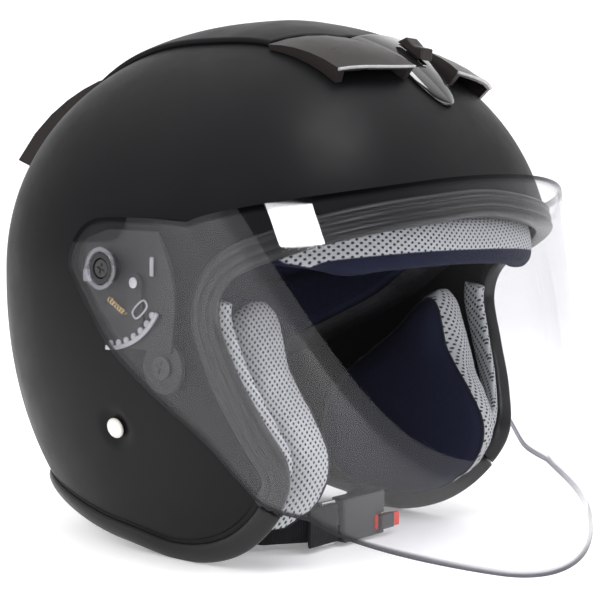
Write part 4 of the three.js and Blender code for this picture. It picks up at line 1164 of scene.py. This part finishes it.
arc = new_mesh("toothed_arc_right", *joined(parts))
# The arc's pale colour is painted light on clear plastic.
finish_pair(arc, bright_clear, "face_shield", ["visor_ratchet_right"])

# The latch's clear loop, on the side view's plane at LATCH_X.
LATCH_X, LATCH_HALF, LATCH_RADII = -129.3, 1.7, (0.55, 0.45)
latch_from, latch_to = np.array([LATCH_X, -20.2, -10.2]), np.array([LATCH_X, -13.0, -16.2])
aside = np.cross(X_AXIS, unit(latch_to - latch_from)) * LATCH_HALF
latch_line = Loop([latch_from + aside, latch_to + aside, latch_to - aside, latch_from - aside])
shares = np.arange(60) / 60
outward = np.cross(latch_line.tangent(shares), X_AXIS)
rings = tube(latch_line.at(shares), outward, X_AXIS, *LATCH_RADII)
latch = new_mesh("latch_loop_right", *skin(rings, closed_rings=True))
# The loop's pale colour is painted light on clear plastic.
finish_pair(latch, bright_clear, "lever_right")

# Two clips of the plate that catch the light.
CLIP_X, CLIP_THICKNESS = -127.6, 1.0
for name, y, z, long, tall in (("front_clip", -22.6, 6.8, 2.2, 9.0), ("rear_clip", 20.4, 1.4, 4.6, 6.0)):
    clip = new_mesh(name + "_right", *box((CLIP_THICKNESS, long, tall), (CLIP_X, y, z)))
    bevelled(clip, 0.35, 3)
    apply_all(clip)
    finish_pair(clip, bright_clear, "helmet")

# ---- Retention -------------------------------------------------------------------------------

# The rivet's radius and height over the shell, from its shank to the top of its head.
rivet_profile = [
    (0.01, -7.4), (1.9, -7.4), (2.2, -7.1), (2.2, -0.9), (4.6, -0.9), (5.0, -0.6), (5.05, 0.2), (4.8, 0.75),
    (4.2, 1.25), (3.2, 1.65), (2.0, 1.9), (0.9, 2.0), (0.01, 2.02),
]
side_a = unit(np.cross(rivet_normal, [0.0, 0, 1]))
side_b = np.cross(rivet_normal, side_a)
rivet_way = np.outer(np.cos(turns(48)), side_a) + np.outer(np.sin(turns(48)), side_b)
rings = [rivet_foot + rivet_normal * height + radius * rivet_way for radius, height in rivet_profile]
rivet = new_mesh("rivet_head_right", *skin(rings))
finish_pair(rivet, white_rivet, "helmet", ["strap_rivet_right"])

BUCKLE_Z = -126.3
STRAP_WIDTH, STRAP_THICKNESS = 20.0, 1.8


def strap_line(side, end_x, end_y):
    def inside(azimuth, elevation, depth):
        p = shell_point(direction(azimuth, elevation), depth)
        return (-side * p[0], p[1], p[2])

    back, upright = (0, 1, 0), (0, 0, 1)
    return [
        (inside(96, -37, 8.6), back), (inside(95, -44, 8.6), back), (inside(93, -51, 9), back),
        (inside(92, -56.5, 10), back), ((side * 74, 1, -134.4), back),
        ((side * 62, -6, -135.2), back), ((side * 51, -13, -132), back),
        ((side * 43, -22, -128), (0.2 * side, 0.8, 0.5)),
        ((side * 36, -32, -126.6), (0, 0.2, 1)),
        ((side * 29, end_y + 4.5, BUCKLE_Z), upright), ((end_x, end_y, BUCKLE_Z), upright),
    ]


def strap_piece(name, stations, body, node, per=14):
    """Webbing through stations of a point and the direction across the webbing there."""
    centre = open_curve([at for at, across in stations], per)
    width_way = open_curve([across for at, across in stations], per)
    along = unit(np.gradient(centre, axis=0))
    out = unit(np.cross(along, width_way))
    sideways = unit(np.cross(out, along))
    travelled = np.concatenate([[0], np.cumsum(np.linalg.norm(np.diff(centre, axis=0), axis=1))])
    # The section's places across and through the webbing, which is thinner at its two edges.
    top = [(k, 1.0 if abs(k) < 0.97 else 0.45) for k in np.linspace(-1, 1, 15)]
    section = top + [(k, -t) for k, t in top[::-1]]
    rings, weave = [], []
    for c, o, s, d in zip(centre, out, sideways, travelled):
        rings.append([c + s * k * STRAP_WIDTH / 2 + o * t * STRAP_THICKNESS / 2 for k, t in section])
        weave += [(d, k * STRAP_WIDTH / 2 + 30, 0) for k, t in section]
    obj = new_mesh(name, *skin(rings))
    set_attribute(obj, "weave", np.array(weave))
    finish_piece(obj, webbing, body, [node])


RIGHT_END_X, LEFT_END_X = -15.0, 22.9
strap_piece("strap_right", strap_line(-1, RIGHT_END_X, -43.6), "helmet", "chin_strap_right")
strap_piece("strap_left", strap_line(1, LEFT_END_X, -46.0), "helmet", "chin_strap_left")
TONGUE_STRAP_Y = -48.05
tongue_stations = [((x, TONGUE_STRAP_Y, BUCKLE_Z), (0, 0, 1)) for x in (-40, -34, -28, -22, -17.5)]
strap_piece("tongue_strap", tongue_stations, "tongue", "buckle_webbing")
dressed("buckle_receiver", buckle_black, 1.2, 3)
dressed("buckle_tongue", steel, 0.25, 2)
dressed("buckle_release_tab", red_plastic, 0.4, 2)
grip = new_mesh("tab_grip", *box((11.5, 3.2, 8.0), (21.4, -51.7, BUCKLE_Z - 5)))
bevelled(grip, 0.7, 3)
apply_all(grip)
finish_piece(grip, buckle_black, "release_tab")

# ---- Stage -----------------------------------------------------------------------------------

FLOOR_GLOW = 0.2


def stage_material():
    s = Shade("pale_floor")
    s.colour(s.noise(2, 3), (0.94, 0.94, 0.94), (0.97, 0.97, 0.97))
    s.roughness(s.noise(30, 3), [(0.3, 0.6), (0.7, 0.75)])
    s.set({"Emission Color": (1, 1, 1), "Emission Strength": FLOOR_GLOW})
    return s.material


# The floor runs away from the camera, and sweeps up behind the helmet into a wall. In metres.
VIEW_AZIMUTH = -51.0
SWEEP_FROM, SWEEP_RADIUS, FLOOR_HALF, FLOOR_COLUMNS = 1.6, 1.2, 6, 9
profile = [(-6.0, 0.0)] + [(x, 0.0) for x in np.linspace(-5, SWEEP_FROM, 12)]
profile += [
    (SWEEP_FROM + SWEEP_RADIUS * math.sin(a), SWEEP_RADIUS - SWEEP_RADIUS * math.cos(a))
    for a in np.linspace(0.1, math.pi / 2, 14)
]
profile += [(SWEEP_FROM + SWEEP_RADIUS, 4.5)]
view_angle = math.radians(VIEW_AZIMUTH)
away = np.array([-math.sin(view_angle), math.cos(view_angle)])
sideways = np.array([math.cos(view_angle), math.sin(view_angle)])
points = [
    (*(away * reach + sideways * w), rise - 0.0002)
    for reach, rise in profile for w in np.linspace(-FLOOR_HALF, FLOOR_HALF, FLOOR_COLUMNS)
]
corners = [i * FLOOR_COLUMNS + j for i in range(len(profile) - 1) for j in range(FLOOR_COLUMNS - 1)]
faces = [(c, c + 1, c + 1 + FLOOR_COLUMNS, c + FLOOR_COLUMNS) for c in corners]
mesh = bpy.data.meshes.new("studio_floor")
mesh.from_pydata(points, [], faces)
mesh.polygons.foreach_set("use_smooth", [True] * len(mesh.polygons))
studio = bpy.data.objects.new("studio_floor", mesh)
scene.collection.objects.link(studio)
mesh.materials.append(stage_material())

# The room is bright overhead and behind the helmet, and dim on the camera's side, so that the
# clear shield mirrors little but the lights.
ROOM_DIM, ROOM_BRIGHT = 0.05, 1.5
world = bpy.data.worlds.new("soft_room")
scene.world = world
world.use_nodes = True
room = Nodes(world.node_tree)
overhead = Vector((away[0] * 0.45, away[1] * 0.45, 0.89)).normalized()
generated = room.add("TexCoord").outputs["Generated"]
facing = room.add("VectorMath", {0: generated, 1: overhead}, operation="DOT_PRODUCT").outputs["Value"]
reach = {"Value": facing, "From Min": -0.2, "From Max": 0.95, "To Min": ROOM_DIM, "To Max": ROOM_BRIGHT}
level = room.add("MapRange", reach, interpolation_type="SMOOTHSTEP").outputs["Result"]
seen = room.add("LightPath").outputs["Is Camera Ray"]
background = world.node_tree.nodes["Background"]
room.put(background.inputs["Color"], (1.0, 1.0, 1.0))
room.put(background.inputs["Strength"], room.add("Mix", {"Factor": seen, 2: level, 3: 1.0}).outputs[0])
scene.view_settings.view_transform = "Standard"

target = Vector(CENTRE / 1000)


def from_target(azimuth, elevation, distance):
    a, e = math.radians(azimuth), math.radians(elevation)
    return target + distance * Vector((math.sin(a) * math.cos(e), -math.cos(a) * math.cos(e), math.sin(e)))


def softbox(name, azimuth, elevation, distance, size, power, roll=0.0, mirrored_in_gloss=True):
    """An area light that looks at the helmet from an azimuth and elevation."""
    light = bpy.data.lights.new(name, "AREA")
    light.shape, light.size, light.size_y = "RECTANGLE", *size
    light.energy = power
    obj = bpy.data.objects.new(name, light)
    obj.location = from_target(azimuth, elevation, distance)
    turn = (target - obj.location).to_track_quat("-Z", "Y").to_matrix()
    obj.rotation_euler = (turn @ Matrix.Rotation(math.radians(roll), 3, "Z")).to_euler()
    obj.visible_glossy = mirrored_in_gloss
    scene.collection.objects.link(obj)


softbox("key", -20, 62, 1.6, (1.0, 0.8), 22)
softbox("fill_right", -100, 30, 1.7, (0.9, 0.9), 14, mirrored_in_gloss=False)
softbox("fill_left", 30, 20, 1.7, (0.8, 0.8), 14, mirrored_in_gloss=False)
softbox("side_haze", -130, 4, 1.7, (1.4, 0.9), 1.2)
softbox("window_glint", -47, 6.2, 1.75, (0.60, 0.085), 6, roll=17)

# ---- Camera ----------------------------------------------------------------------------------

camera_data = bpy.data.cameras.new("view")
camera_data.sensor_width, camera_data.lens = 36.0, 90.0
camera_data.clip_start, camera_data.clip_end = 0.05, 30
camera = bpy.data.objects.new("view", camera_data)
scene.collection.objects.link(camera)
DISTANCE, HEIGHT = 0.805, 0.0365
YAW, PITCH, ROLL = -0.48, 3.67, 0.61
camera.location = from_target(VIEW_AZIMUTH, 0, DISTANCE) + Vector((0, 0, HEIGHT))
yaw, pitch, roll = (math.radians(a) for a in (VIEW_AZIMUTH + YAW, PITCH, ROLL))
ahead = Vector((-math.sin(yaw) * math.cos(pitch), math.cos(yaw) * math.cos(pitch), -math.sin(pitch)))
level_right = ahead.cross(Vector((0, 0, 1))).normalized()
level_up = level_right.cross(ahead)
right = level_right * math.cos(roll) + level_up * math.sin(roll)
up = level_up * math.cos(roll) - level_right * math.sin(roll)
camera.rotation_euler = Matrix((right, up, -ahead)).transposed().to_euler()
scene.camera = camera

bpy.context.view_layer.update()
